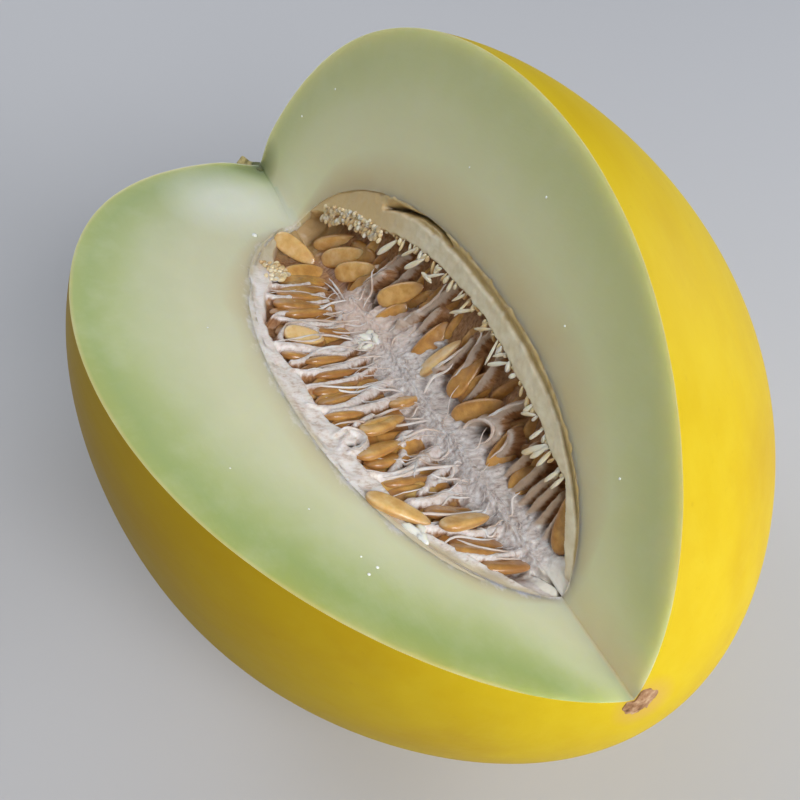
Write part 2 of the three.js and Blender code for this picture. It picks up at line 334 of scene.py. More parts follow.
class Nodes:
    """A short way to add linked shader nodes to one material."""

    def __init__(self, tree):
        self.tree = tree

    def set_input(self, node, socket, source):
        if isinstance(source, bpy.types.NodeSocket):
            self.tree.links.new(source, node.inputs[socket])
        else:
            node.inputs[socket].default_value = source

    def add(self, kind, links=None, **settings):
        node = self.tree.nodes.new("ShaderNode" + kind)
        for name, value in settings.items():
            setattr(node, name, value)
        for socket, source in (links or {}).items():
            self.set_input(node, socket, source)
        return node

    def mix(self, factor, first, second):
        node = self.add("Mix", data_type="RGBA")
        for socket, source in ((0, factor), (6, first), (7, second)):
            if isinstance(source, tuple) and len(source) == 3:
                source = (*source, 1)
            self.set_input(node, socket, source)
        return node.outputs[2]

    def tint(self, colour, mask, strength, other):
        """Lays another colour over a colour, as strongly as the mask says."""
        return self.mix(self.sums(mask, strength, "MULTIPLY"), colour, other)

    def surface(self, shader, colour, roughness=None, normal=None):
        """Joins a material's colour, roughness and fine relief to its shader."""
        for socket, source in (("Base Color", colour), ("Roughness", roughness),
                               ("Normal", normal)):
            if source is not None:
                self.set_input(shader, socket, source)

    def ramp(self, factor, stops):
        node = self.add("ValToRGB", {"Fac": factor})
        edge = node.color_ramp.elements
        while len(edge) < len(stops):
            edge.new(0.5)
        for element, (place, colour) in zip(edge, stops):
            element.position = place
            element.color = (*colour, 1)
        return node.outputs["Color"]

    def band(self, value, low, high, to_low=0.0, to_high=1.0):
        node = self.add("MapRange", {"Value": value, "From Min": low, "From Max": high,
                                     "To Min": to_low, "To Max": to_high})
        return node.outputs["Result"]

    def sums(self, first, second, kind="ADD"):
        return self.add("Math", {0: first, 1: second}, operation=kind).outputs[0]

    def scaled(self, vector, stretch):
        return self.add("Mapping", {"Vector": vector, "Scale": stretch}).outputs["Vector"]

    def place(self, stretch=(1, 1, 1)):
        return self.scaled(self.add("TexCoord").outputs["Object"], stretch)

    def clouds(self, vector, scale, detail=3.0, roughness=0.5):
        node = self.add("TexNoise", {"Vector": vector, "Scale": scale, "Detail": detail,
                                     "Roughness": roughness})
        return node.outputs["Fac"]

    def near(self, spot, inner, outer):
        """1 within inner metres of a spot of the laid-down melon, and 0 beyond outer."""
        gap = self.add("VectorMath", {0: self.add("TexCoord").outputs["Object"],
                                      1: laid_down @ Vector(spot)}, operation="DISTANCE")
        return self.band(gap.outputs["Value"], inner, outer, 1, 0)

    def attribute(self, name):
        return self.add("Attribute", attribute_name=name).outputs["Fac"]

    def bump(self, height, strength, distance):
        node = self.add("Bump", {"Height": height, "Strength": strength, "Distance": distance})
        return node.outputs["Normal"]


def new_material(name, **fixed):
    """A material and its shader, with the numbers that are the same all over it."""
    material = bpy.data.materials.new(name)
    material.use_nodes = True
    shader = material.node_tree.nodes["Principled BSDF"]
    for socket, value in fixed.items():
        shader.inputs[socket.replace("_", " ")].default_value = value
    return material, shader, Nodes(material.node_tree)


def rind_material():
    material, shader, nodes = new_material(
        "waxy_rind", Specular_IOR_Level=0.25, Subsurface_Weight=0.06,
        Subsurface_Radius=(1.0, 0.6, 0.1), Subsurface_Scale=0.002, IOR=1.33)
    patches = nodes.clouds(nodes.place((0.22, 1, 1)), 26, 3)
    streaks = nodes.clouds(nodes.place((0.05, 1, 1)), 190, 4, 0.6)
    colour = nodes.ramp(patches, [(0.30, (0.50, 0.315, 0.004)), (0.50, (0.58, 0.40, 0.005)),
                                  (0.72, (0.63, 0.46, 0.010))])
    colour = nodes.mix(nodes.band(streaks, 0.42, 0.7, 0, 0.18), colour, (0.68, 0.54, 0.03))
    # Painted shade: the rind is painted darker and browner towards the shelf's side of the melon,
    # the side turned from the light.
    side = nodes.add("SeparateXYZ", {"Vector": nodes.place()}).outputs["Y"]
    colour = nodes.mix(nodes.band(side, -0.02, -0.085, 0, 0.7), colour, (0.42, 0.245, 0.006))
    specks = nodes.clouds(nodes.place((0.6, 1, 1)), 620, 2)
    colour = nodes.mix(nodes.band(specks, 0.70, 0.80, 0, 0.22), colour, (0.40, 0.24, 0.01))
    stalk_foot = nodes.near(STALK_PLACE, 0.003, 0.009)
    colour = nodes.tint(colour, stalk_foot, 0.85, (0.13, 0.15, 0.04))
    halo = nodes.near(SCAR_PLACE, 0.0035, 0.0075)
    colour = nodes.tint(colour, halo, 0.55, (0.56, 0.33, 0.08))
    wrinkles = nodes.clouds(nodes.place((0.16, 1, 1)), 150, 4)
    nodes.surface(shader, colour, nodes.band(patches, 0.3, 0.7, 0.46, 0.58),
                  nodes.bump(wrinkles, 0.4, 0.0006))
    return material


def flesh_material():
    material, shader, nodes = new_material(
        "wet_flesh", Coat_Weight=0.15, Coat_Roughness=0.25, Subsurface_Weight=0.8,
        Subsurface_Radius=(1.0, 0.85, 0.5), Subsurface_Scale=0.010, IOR=1.36)
    soft = nodes.clouds(nodes.place((0.5, 1, 1)), 38, 3)
    wander = nodes.sums(nodes.attribute("depth"), nodes.band(soft, 0.3, 0.7, -2.2, 2.2))
    colour = nodes.ramp(nodes.band(wander, 0, 50), [
        (0.00, (0.44, 0.45, 0.14)), (0.03, (0.39, 0.45, 0.14)), (0.12, (0.38, 0.46, 0.17)),
        (0.24, (0.48, 0.54, 0.24)), (0.36, (0.60, 0.63, 0.37)), (0.52, (0.70, 0.70, 0.46)),
        (0.72, (0.74, 0.725, 0.49)), (0.90, (0.75, 0.725, 0.50))])
    on_wall = nodes.attribute("wall")
    # Painted light: the wall face is painted lighter and yellower than the shelf, standing in for
    # light that brightens it.
    colour = nodes.tint(colour, on_wall, 0.44, (0.91, 0.86, 0.50))
    rim = nodes.band(nodes.attribute("depth"), 0.2, 1.3, 0.9, 0)
    colour = nodes.mix(rim, colour, (0.60, 0.52, 0.20))
    reach = nodes.band(on_wall, 0, 1, 7, 13)
    core = nodes.sums(nodes.attribute("core"), nodes.band(soft, 0.3, 0.7, -2.5, 2.5))
    tan = nodes.band(nodes.sums(core, reach, "DIVIDE"), 0, 1, 0.9, 0)
    colour = nodes.mix(tan, colour, (0.68, 0.52, 0.29))
    mottle = nodes.clouds(nodes.place(), 120, 4, 0.6)
    torn = nodes.clouds(nodes.place((0.6, 1, 1)), 330, 4, 0.65)
    ragged = nodes.sums(nodes.attribute("core"), nodes.band(torn, 0.3, 0.7, 2.6, -2.6))
    pith = nodes.sums(nodes.band(ragged, -0.6, 2.2, 0.9, 0), nodes.band(on_wall, 0, 1, 1, 0),
                      "MULTIPLY")
    colour = nodes.mix(pith, colour, (0.95, 0.86, 0.76))
    colour = nodes.mix(nodes.band(mottle, 0.45, 0.75, 0, 0.14), colour, (0.78, 0.80, 0.62))
    stalk_foot = nodes.near(GREEN_PATCH, 0.002, 0.011)
    colour = nodes.tint(colour, stalk_foot, 0.85, (0.16, 0.20, 0.06))
    # Painted sheen: a soft near-white patch on the shelf near the stem end stands in for light
    # reflected by the wet flesh.
    painted_sheen = nodes.near(PAINTED_SHEEN_PATCH, 0.006, 0.022)
    colour = nodes.tint(colour, painted_sheen, 0.65, (0.94, 0.96, 0.86))
    grain = nodes.clouds(nodes.place((0.4, 1, 1)), 420, 4, 0.65)
    nodes.surface(shader, colour, nodes.band(mottle, 0.3, 0.7, 0.40, 0.55),
                  nodes.bump(grain, 0.18, 0.0004))
    return material


def dress(piece, *materials):
    for material in materials:
        piece.data.materials.append(material)


def paint_faces(piece, index):
    piece.data.polygons.foreach_set("material_index", np.full(len(piece.data.polygons), index))


rind_paint = rind_material()
flesh_paint = flesh_material()
body = round_block("melon_body", 232, 150, fruit_rule)
dress(body, rind_paint, flesh_paint)
missing_wedge = sheet_block("missing_wedge", (170, 130), cut_rule)
dress(missing_wedge, rind_paint, flesh_paint)
paint_faces(missing_wedge, 1)
carve(body, missing_wedge)
hollow = round_block("seed_cavity", 150, 120, cavity_rule(0, 0.4))
dress(hollow, rind_paint, flesh_paint)
paint_faces(hollow, 1)
carve(body, hollow)
spots = places_of(body)
seam_gap = np.hypot(spots[:, 1] - SEAM_SIDE, spots[:, 2] - SEAM_HEIGHT)
# Pale flesh follows the seam out to the blossom end.
tip_pith = 15 * np.exp(-(seam_gap / 12) ** 2) * np.clip((spots[:, 0] - 55) / 20, 0, 1)
mark(body, "depth", depth_below_rind(spots) + tip_pith)
mark(body, "core", np.hypot(spots[:, 1], spots[:, 2]) - cavity_radius(spots[:, 0]))
mark(body, "wall", spots[:, 1] > SEAM_SIDE)
lay_down(body)
# The small flat it rests on.
select_only(body)
bpy.ops.object.mode_set(mode="EDIT")
bpy.ops.mesh.select_all(action="SELECT")
bpy.ops.mesh.bisect(plane_co=(0, 0, 0), plane_no=(0, 0, 1), threshold=1e-6,
                    clear_inner=True, use_fill=True)
bpy.ops.object.mode_set(mode="OBJECT")
bpy.ops.object.shade_smooth_by_angle(angle=radians(38))
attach(body, "root")
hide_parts("melon_flesh")

# ---------------------------------------------------------------- pulp
# Wet pulp fills the cavity up to the cut. A pale rim and a fuzzy ridge along the seam are
# joined by white strands, with brown hollows between them where the seeds lie. It is one
# block with a finely folded top, dark and amber below, and white where the pith stands up.
PULP_STEPS = (400, 212)
PULP_HALF_LENGTH = 74
PULP_MARGIN = 3.2
PULP_OVERLAP = 1.4
BED_DROP = {"shelf": 3.8, "wall": 7.2}
BAND_TOP = {"shelf": -0.30, "wall": -0.35}
RIDGE_TOP = 2.1
SHORE_DROP = 0.7
# Widths and edges along the melon: places along it, and millimetres out from the seam.
SHELF_RIDGE = ((-44, -36, -28, -15, -5, 5, 20, 40, 60, 70, 76),
               (0.5, 3.0, 5.5, 7.5, 7.5, 6.0, 5.0, 4.5, 3.5, 2.5, 1.5))
WALL_RIDGE = ((-44, -36, -25, -15, -5, 5, 12, 25, 32, 45, 60, 72),
              (0.5, 1.5, 3.0, 4.5, 6.0, 5.2, 3.6, 3.2, 4.4, 3.6, 3.6, 2.0))
SHELF_BAND = ((-64, -58, -50, -42, -32, -21, -9, 2, 12, 18, 24, 31, 41, 50, 57, 64, 69, 75),
              (4, 9, 14, 16.4, 23.4, 27.9, 29.3, 27.3, 27.3, 26.9, 22.5, 25.6, 22.9, 23.5,
               17.7, 12.4, 8.4, 4.0))
SHELF_BAND_END = ((-62, -50, -39, -27, -14, -3, 9, 19, 34, 41, 46, 54, 59, 66, 70, 74, 78),
                  (9, 19, 25.8, 31.0, 34.0, 35.0, 34.8, 34.2, 34, 32.2, 28.8, 24.8, 20.5, 14.6,
                   10.6, 5.8, 2.4))
WALL_BAND = ((-64, -55, -42, -30, -22, -15, -4, 8, 17, 26, 35, 43, 49, 55, 61, 68, 74),
             (4.4, 9.4, 15.0, 19.4, 22.2, 24.2, 25.5, 26.4, 26.1, 24.9, 23.2, 21.6, 19.9, 17.8,
              16.6, 9, 3))
GROOVE = ((-60, -44, -33, -21, -8, 2, 13, 21, 30, 39, 46, 53, 58, 63, 70, 76),
          (14, 24, 26.0, 29.2, 31.4, 31.9, 31.6, 31.2, 30.3, 28.5, 27.0, 24.4, 21.2, 18.0,
           12.5, 4.5))

# Where each change along the melon begins and where it is complete.
STEM_FILM_ENDS = (-60, -51)
STEM_SHADE_ENDS = (-58, -49)
STEM_TAN_ENDS = (-38, -10)
SHELF_BAND_STARTS = (-50, -40)
GROOVE_STARTS = (-40, -28)
RIDGE_STARTS = (-43, -26)
RIDGE_FULL = (-30, 0)
RIDGE_SINKS = (42, 66)
RIDGE_ENDS = (64, 78)
PINK_ENDS = (-14, 2)
BROWN_FILM_STARTS = (34, 46)
BROWN_FILM_ENDS = (60, 68)
PITH_END = (62, 71)
TAIL_STARTS = (66, 73)

# Each strand: its height against the cut, its half width, and points along and out.
SHELF_STRANDS = [
    (-1.0, 0.40, [(-38, 8), (-37, 13), (-37.5, 19)]),
    (-1.0, 0.45, [(-33, 6), (-32, 12), (-32, 18.5), (-33, 23)]),
    (-1.2, 0.35, [(-30, 6), (-29.3, 13), (-29.5, 19.5)]),
    (-1.0, 0.40, [(-26.5, 7), (-24.5, 12), (-25, 21), (-24, 24)]),
    (-0.5, 0.45, [(-22, 6), (-19, 10.5), (-20, 17.5), (-23, 25)]),
    (-0.7, 0.45, [(-19, 7), (-17, 12), (-17, 15.5)]),
    (-0.2, 0.50, [(-16.2, 15.5), (-19, 18.5), (-18.5, 22.5), (-15, 26), (-12, 26.5)]),
    (0.0, 1.00, [(-12, 6), (-9.5, 10), (-8, 16.5), (-9.5, 21.5), (-11.5, 28.5)]),
    (-0.4, 0.45, [(-9.5, 7), (-6.5, 13), (-7.5, 19), (-5, 24), (-4.5, 27)]),
    (0.0, 0.65, [(-5.5, 6), (-2.5, 12), (-0.5, 18), (0, 25), (-1, 29)]),
    (-0.3, 0.40, [(-1, 6), (3, 14), (4.5, 22), (5, 27)]),
    (0.2, 0.90, [(4.5, 4.5), (9, 13), (12.5, 19.5), (13.5, 26), (12, 30)]),
    (0.0, 0.80, [(10.5, 4.5), (13.5, 13), (14.5, 18), (15, 25)]),
    (-0.2, 0.45, [(17.3, 16), (19.5, 21)]),
    (-0.2, 0.95, [(22.5, 4.5), (24, 7), (24, 10.5), (26.3, 12)]),
    (0.0, 0.75, [(30, 13.5), (34, 17.5), (36.5, 20)]),
    (0.3, 1.10, [(30.5, 5), (33, 11), (36, 15), (37, 20.5), (36, 25)]),
    (-0.1, 0.60, [(36, 5), (39, 11), (42, 14)]),
    (-0.4, 0.50, [(39.5, 6), (40.5, 12), (42.5, 15.5)]),
    (0.0, 0.95, [(42.5, 6), (45, 13), (45, 19)]),
    (-0.1, 0.80, [(56, 1.5), (56, 9.5), (54, 13.5), (52, 20.5)]),
    (-0.1, 0.55, [(63, 0), (63.2, 9), (61, 16.5)]),
    (0.4, 0.95, [(23, 28), (21.8, 24.5), (23.3, 21.8), (26, 21.6), (28.3, 24.3), (29, 27)]),
    (0.3, 0.70, [(23, 24.5), (26, 27.5), (27.5, 29)]),
]
WALL_STRANDS = [
    (-0.8, 0.95, [(-10, 1.5), (-8.7, 6.8)]),
    (-2.0, 0.85, [(-8.7, 6.8), (-6.3, 11.6)]),
    (-3.2, 0.80, [(-6.3, 11.6), (-3.1, 17.6), (0.3, 24.5)]),
    (-1.8, 0.70, [(-29.6, -2.4), (-26.3, 1.4), (-28.2, 4.8), (-25.2, 10.4)]),
    (-3.8, 0.80, [(-30.8, 3.9), (-25.9, 13.2), (-22.3, 18.4)]),
    (-4.5, 0.70, [(-24, 6), (-19.5, 14), (-17.5, 21)]),
    (-3.5, 0.60, [(-4, 4), (-3.5, 10), (-1.5, 16)]),
    (-1.2, 0.65, [(6.2, 0.1), (10, 6.6)]),
    (-3.8, 0.65, [(10, 6.6), (12.7, 13.8), (13.7, 18.3)]),
    (-3.4, 0.55, [(16.3, 7.4), (16.5, 12.7), (16.7, 19.4), (18.7, 24.6)]),
    (-4.0, 0.60, [(21.5, 6), (23.5, 15), (24, 22)]),
    (-3.0, 0.75, [(32.3, 10.2), (34.3, 14.3), (39.1, 20.2)]),
    (-2.4, 0.80, [(30.3, 1.9), (28.4, 4), (31, 8.3), (35.3, 9.9), (36.8, 7.5), (35, 4)]),
    (-2.6, 0.60, [(40, 4.6), (40.9, 9), (39.5, 11.9)]),
    (-2.6, 0.70, [(44.6, 2.5), (46, 8), (47, 14)]),
    (-2.2, 0.75, [(48.7, 1.5), (50.5, 7.2), (51.9, 13.2)]),
    (-2.0, 0.70, [(52.9, 1.4), (54.1, 8.2), (55.9, 13.7)]),
    (-2.0, 0.65, [(56.1, 1.2), (56.9, 7.6), (58.1, 13)]),
    (-1.9, 0.65, [(59.7, 1.5), (60.2, 7.6), (60.9, 12.9)]),
    (-1.8, 0.60, [(63.5, 1.1), (63.3, 6.6), (63.3, 12.1)]),
]
# Each crack or pit: on the wall or not, its depth, its half width, and its points.
CRACKS = [
    (True, 3.4, 0.50, [(-33.5, 25.1), (-26.4, 28.8), (-17.1, 32), (-9.2, 33), (-4, 32.9)]),
    (False, 2.4, 0.50, [(-38.7, 26.1), (-31.9, 29.1), (-24.9, 32.2)]),
    (False, 1.6, 0.50, [(69, 1.8), (72.3, 0.4), (74.8, -0.4), (77.4, 1.0)]),
    (True, 3.0, 1.10, [(30.9, 5.2), (33, 6.2)]),
    (True, 2.8, 1.10, [(-25.5, 2.6), (-21.7, 2.0), (-22.5, 4.5)]),
    (False, 2.6, 0.95, [(5.7, 15.8), (4.6, 12.3)]),
    (False, 2.0, 0.80, [(9.3, 24.0), (10.3, 20.1)]),
    (False, 2.4, 0.90, [(-40.2, 5.2), (-38.8, 2.1)]),
    (False, 1.6, 0.70, [(41.1, 9.6), (40.3, 6.3)]),
    (False, 1.4, 0.55, [(26, 24.6), (26.3, 25.6)]),
]


def smooth_line(points, per_span=7):
    """A smooth line through a few points."""
    points = np.array(points, float)
    ends = [2 * points[0] - points[1], 2 * points[-1] - points[-2]]
    padded = np.vstack([ends[0], points, ends[1]])
    t = np.linspace(0, 1, per_span, endpoint=False)[:, None]
    spans = []
    for a, b, c, d in zip(padded, padded[1:], padded[2:], padded[3:]):
        spans.append(0.5 * (2 * b + (c - a) * t + (2 * a - 5 * b + 4 * c - d) * t ** 2
                            + (3 * b - a - 3 * c + d) * t ** 3))
    return np.vstack([*spans, points[-1:]])


def gap_to_line(x, out, points):
    """Distance from each spot of a face to a line drawn on it."""
    line = smooth_line(points)
    best = np.full(len(x), 99.0)
    margin = 4
    near = ((x > line[:, 0].min() - margin) & (x < line[:, 0].max() + margin)
            & (out > line[:, 1].min() - margin) & (out < line[:, 1].max() + margin))
    spots = np.column_stack([x[near], out[near]])
    closest = best[near]
    for a, b in zip(line, line[1:]):
        span = b - a
        t = np.clip((spots - a) @ span / (span @ span), 0, 1)
        closest = np.minimum(closest, np.hypot(*(spots - a - t[:, None] * span).T))
    best[near] = closest
    return best


def rise(value, low, high):
    """A soft step from 0 at low to 1 at high."""
    t = np.clip((value - low) / (high - low), 0, 1)
    return t * t * (3 - 2 * t)


def pulp_field(x, out, on_wall):
    """Height of the pulp against the cut, and masks for how each spot is coloured."""
    edge = cavity_edge(x)
    spot = np.column_stack([x, np.where(on_wall, out, -out), 0 * x])
    lumps = waves(spot, 4.5, 4)
    crumbs = waves(spot, 1.9, 8)
    fuzz = waves(spot, 0.9, 5)
    sway = 0.45 * waves(spot, 3.0, 6)

    # The brown bed where the seeds lie.
    room = np.clip(edge / 9, 0, 1)
    floor = -np.where(on_wall, BED_DROP["wall"], BED_DROP["shelf"]) * room
    floor = floor + 0.6 * lumps + 0.35 * crumbs

    # The pale band round the bed, with a groove along its outer edge on the wall.
    line = np.where(on_wall, np.interp(x, *WALL_BAND), np.interp(x, *SHELF_BAND))
    line = line + 0.7 * lumps + 0.5 * crumbs
    band = rise(out, line - np.where(on_wall, 0.9, 1.1), line + np.where(on_wall, 1.3, 0.7))
    groove_line = np.interp(x, *GROOVE) + 0.35 * crumbs
    groove = on_wall * rise(out, groove_line - 0.5, groove_line + 0.6)
    groove = groove * rise(x, *GROOVE_STARTS)
    outer = np.interp(x, *SHELF_BAND_END) + 1.6 * lumps + 1.0 * crumbs + 0.5 * fuzz
    shelf_end = ~on_wall * (1 - rise(x, *SHELF_BAND_STARTS)) * band
    fade = np.where(on_wall, 0, np.maximum(rise(out, outer - 2.6, outer + 0.8), shelf_end))
    lip = rise(out, edge - 2.8, edge - 0.5)
    band_top = np.where(on_wall, BAND_TOP["wall"],
                        0.45 * lip + BAND_TOP["shelf"] + 0.45 * lumps * (1 - lip))
    dip = groove * (1 - rise(out, edge - 1.8 + 0.3 * crumbs, edge + 0.1))
    band_top = band_top - 0.6 * dip + 0.50 * (groove - dip) + 0.16 * crumbs * (1 - fade)
    band_top = band_top + np.where(on_wall, 0.12, 0.15 * (1 - fade)) * lumps
    height = floor + (band_top - floor) * band
    pith = np.maximum(band, rise(x, *PITH_END))

    # The white strands.
    for wall, strands in ((False, SHELF_STRANDS), (True, WALL_STRANDS)):
        for top, half, points in strands:
            gap = gap_to_line(x, out + 0.6 * sway, points) + sway * half
            here = (on_wall == wall) & (gap < 3.2 * half)
            crest = top - 0.9 * gap ** 2 / half + 0.15 * crumbs
            height = np.where(here, np.maximum(height, crest), height)
            pith = np.where(here, np.maximum(pith, 1 - rise(gap, 0.8 * half, 2.1 * half)), pith)

    # The fuzzy ridge along the seam, eased into what lies beside it.
    width = np.where(on_wall, np.interp(x, *WALL_RIDGE), np.interp(x, *SHELF_RIDGE))
    width = width * (1 + 0.20 * lumps + 0.12 * crumbs)
    starts = rise(x, *RIDGE_STARTS)
    swell = starts * (1 - 0.55 * rise(x, *RIDGE_SINKS) - 0.45 * rise(x, *RIDGE_ENDS))
    top = RIDGE_TOP * (0.5 + 0.5 * rise(x, *RIDGE_FULL)) * swell - 9 * (1 - starts)
    steep = np.maximum(0.012, (top + 2 - 0.65 * width) / np.maximum(width, 0.5) ** 2)
    crest = top - 0.65 * np.maximum(0, out) - steep * out ** 2
    crest = crest + 0.40 * lumps + 0.22 * crumbs + 0.12 * fuzz
    blend = 0.8
    height = height + 0.5 * cut_swell(folded(x, out, on_wall, 0 * x)) * band
    overlap = np.maximum(0, blend - np.abs(height - crest)) / blend
    ridge = rise(crest - height, -0.9, 0.9)
    height = np.maximum(height, crest) + 0.25 * blend * overlap ** 2
    pith = np.maximum(pith, ridge)
    height = height + 0.09 * fuzz * pith + 0.12 * fuzz * (1 - band) + 0.28 * fuzz * ridge

    # It sinks under the flesh past the cavity's edge, and lies flat at the blossom end.
    shore = edge + 0.55 + np.where(on_wall, 0.8, 0.4) * crumbs + 0.3 * lumps
    height = height - SHORE_DROP * rise(out, shore - 0.7, shore + 0.9)
    tail = rise(x, *TAIL_STARTS)
    height = height + 0.85 * tail * (-0.15 - height)

    # Cracks and pits. They and the stem end beside the band are painted near-black as painted
    # shade.
    painted_shade = 0.45 * (1 - rise(x, *STEM_SHADE_ENDS)) * (1 - band)
    for wall, depth, half, points in CRACKS:
        gap = gap_to_line(x, out, points) + 0.5 * sway
        cut = (on_wall == wall) * np.exp(-(np.maximum(0, gap) / half) ** 2)
        height = height - depth * cut
        painted_shade = np.maximum(painted_shade, cut)

    tan = np.maximum(on_wall * (1 - rise(x, *STEM_TAN_ENDS)) * band,
                     1 - rise(x, *STEM_FILM_ENDS))
    brown_film = rise(x, *BROWN_FILM_STARTS) * (1 - rise(x, *BROWN_FILM_ENDS))
    film = on_wall * np.maximum(0.75 * (1 - ridge), brown_film)
    return height, {"pith": pith, "ridge": ridge, "groove": groove, "tan": tan,
                    "fade": fade, "painted_shade": painted_shade, "band": band * on_wall, "rim": band * ~on_wall,
                    "pink": 1 - rise(x, *PINK_ENDS), "tail": tail, "film": film}


def folded(x, out, on_wall, height):
    """Places on the two cut faces, height millimetres above them, eased over the seam."""
    out_way = np.where(on_wall[:, None], WALL_OUT, SHELF_OUT)
    up_way = np.where(on_wall[:, None], WALL_UP, SHELF_UP)
    other = np.where(on_wall[:, None], SHELF_UP, WALL_UP)
    ease = 0.5 * np.exp(-(out / 3.2) ** 2)[:, None]
    up_way = up_way * (1 - ease) + other * ease
    up_way /= np.linalg.norm(up_way, axis=1)[:, None]
    along = x[:, None] * np.array([1.0, 0, 0])
    return (SEAM + along + out[:, None] * out_way + height[:, None] * up_way
            + seam_fillet(out) + seam_bow(x, out))


def pulp_surface(places):
    """Folds a flat grid into the top of the pulp."""
    x = CAVITY_MIDDLE + PULP_HALF_LENGTH * places[:, 0]
    out = (np.maximum(cavity_edge(x), 4) + PULP_MARGIN) * np.abs(places[:, 1])
    on_wall = places[:, 1] > 0
    return folded(x, out, on_wall, pulp_field(x, out, on_wall)[0])


def face_spots(places):
    """Where each place is on the cut faces: along, out from the seam, and on which."""
    offset = places - SEAM
    out = np.zeros(len(places))
    for _ in range(3):
        eased = offset - seam_bow(places[:, 0], out)
        on_wall = eased[:, 1] > 0
        out = np.maximum(0, np.where(on_wall, eased @ WALL_OUT, eased @ SHELF_OUT))
    return places[:, 0], out, on_wall


def pulp_material():
    material, shader, nodes = new_material(
        "wet_pulp", Coat_Weight=0.35, Coat_Roughness=0.18, Subsurface_Weight=0.35,
        Subsurface_Radius=(1.0, 0.7, 0.5), Subsurface_Scale=0.0016, IOR=1.38)
    spot = nodes.add("Attribute", attribute_name="face_spot").outputs["Vector"]
    fibres = nodes.clouds(nodes.scaled(spot, (1, 0.45, 1)), 1.5, 4, 0.6)
    lumps = nodes.clouds(spot, 0.35, 3)
    floor = nodes.ramp(fibres, [(0.30, (0.20, 0.085, 0.035)), (0.48, (0.40, 0.20, 0.085)),
                                (0.70, (0.56, 0.33, 0.17))])
    white = nodes.ramp(fibres, [(0.28, (0.56, 0.44, 0.38)), (0.48, (0.72, 0.64, 0.60)),
                                (0.72, (0.84, 0.79, 0.77))])
    frayed = nodes.sums(nodes.attribute("pith"), nodes.band(fibres, 0.3, 0.7, -0.25, 0.25))
    white = nodes.tint(white, nodes.attribute("film"), 0.8, (0.47, 0.33, 0.21))
    colour = nodes.mix(nodes.band(frayed, 0.25, 0.75), floor, white)
    patch = nodes.sums(fibres, nodes.band(lumps, 0.35, 0.65, -0.16, 0.16))
    pale = nodes.ramp(patch, [(0.28, (0.66, 0.53, 0.44)), (0.46, (0.86, 0.77, 0.71)),
                              (0.64, (0.93, 0.87, 0.83))])
    pale = nodes.tint(pale, nodes.attribute("pink"), 0.55, (1.0, 0.91, 0.88))
    colour = nodes.tint(colour, nodes.attribute("rim"), 0.9, pale)
    smooth = nodes.ramp(lumps, [(0.35, (0.80, 0.69, 0.47)), (0.65, (0.92, 0.83, 0.62))])
    colour = nodes.tint(colour, nodes.attribute("band"), 0.92, smooth)
    specks = nodes.clouds(spot, 0.9, 4, 0.7)
    lilac = nodes.ramp(specks, [(0.33, (0.34, 0.27, 0.25)), (0.46, (0.60, 0.53, 0.49)),
                                (0.68, (0.86, 0.82, 0.79))])
    lilac = nodes.tint(lilac, nodes.attribute("pink"), 0.6, (0.86, 0.62, 0.48))
    lilac = nodes.mix(nodes.attribute("tail"), lilac, (0.88, 0.83, 0.72))
    colour = nodes.mix(nodes.band(nodes.attribute("ridge"), 0.2, 0.9, 0, 0.9), colour, lilac)
    olive = nodes.ramp(lumps, [(0.35, (0.54, 0.38, 0.15)), (0.65, (0.64, 0.47, 0.21))])
    colour = nodes.mix(nodes.attribute("groove"), colour, olive)
    colour = nodes.tint(colour, nodes.attribute("tan"), 0.85, (0.70, 0.49, 0.22))
    colour = nodes.mix(nodes.attribute("fade"), colour, (0.66, 0.56, 0.39))
    # Painted shade: the cracks, pits and stem end are painted near-black.
    colour = nodes.mix(nodes.band(nodes.attribute("painted_shade"), 0.2, 0.9, 0, 0.85), colour,
                       (0.09, 0.05, 0.015))
    fine = nodes.clouds(nodes.scaled(spot, (1, 0.6, 1)), 3.2, 4, 0.65)
    nodes.surface(shader, colour, nodes.band(fibres, 0.3, 0.7, 0.28, 0.5),
                  nodes.bump(fine, 0.35, 0.0004))
    return material


pulp_paint = pulp_material()
pulp_top = sheet_block("pulp_top", PULP_STEPS, pulp_surface)
dress(pulp_top, pulp_paint)
pulp = round_block("pulp", 96, 64, cavity_rule(-PULP_OVERLAP, 0))
dress(pulp, pulp_paint)
carve(pulp, pulp_top)
x, out, on_wall = face_spots(places_of(pulp))
for name, values in pulp_field(x, out, on_wall)[1].items():
    mark(pulp, name, values)
spot_layer = pulp.data.attributes.new("face_spot", "FLOAT_VECTOR", "POINT")
signed_out = np.where(on_wall, out + 200, out)
spot_layer.data.foreach_set("vector", np.column_stack([x, signed_out, 0 * x]).ravel())
lay_down(pulp)
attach(pulp, "root")
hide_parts("seed_core")

# ---------------------------------------------------------------- seeds
# Flat seeds, blunt at one end and more pointed at the other, under a thin wet skin. The
# ones that show singly lie where the cut left them; others fill the hollows in rows.
SEED_LENGTH = 14.0
SEED_WIDTH = 5.5
SEED_THICKNESS = 2.1
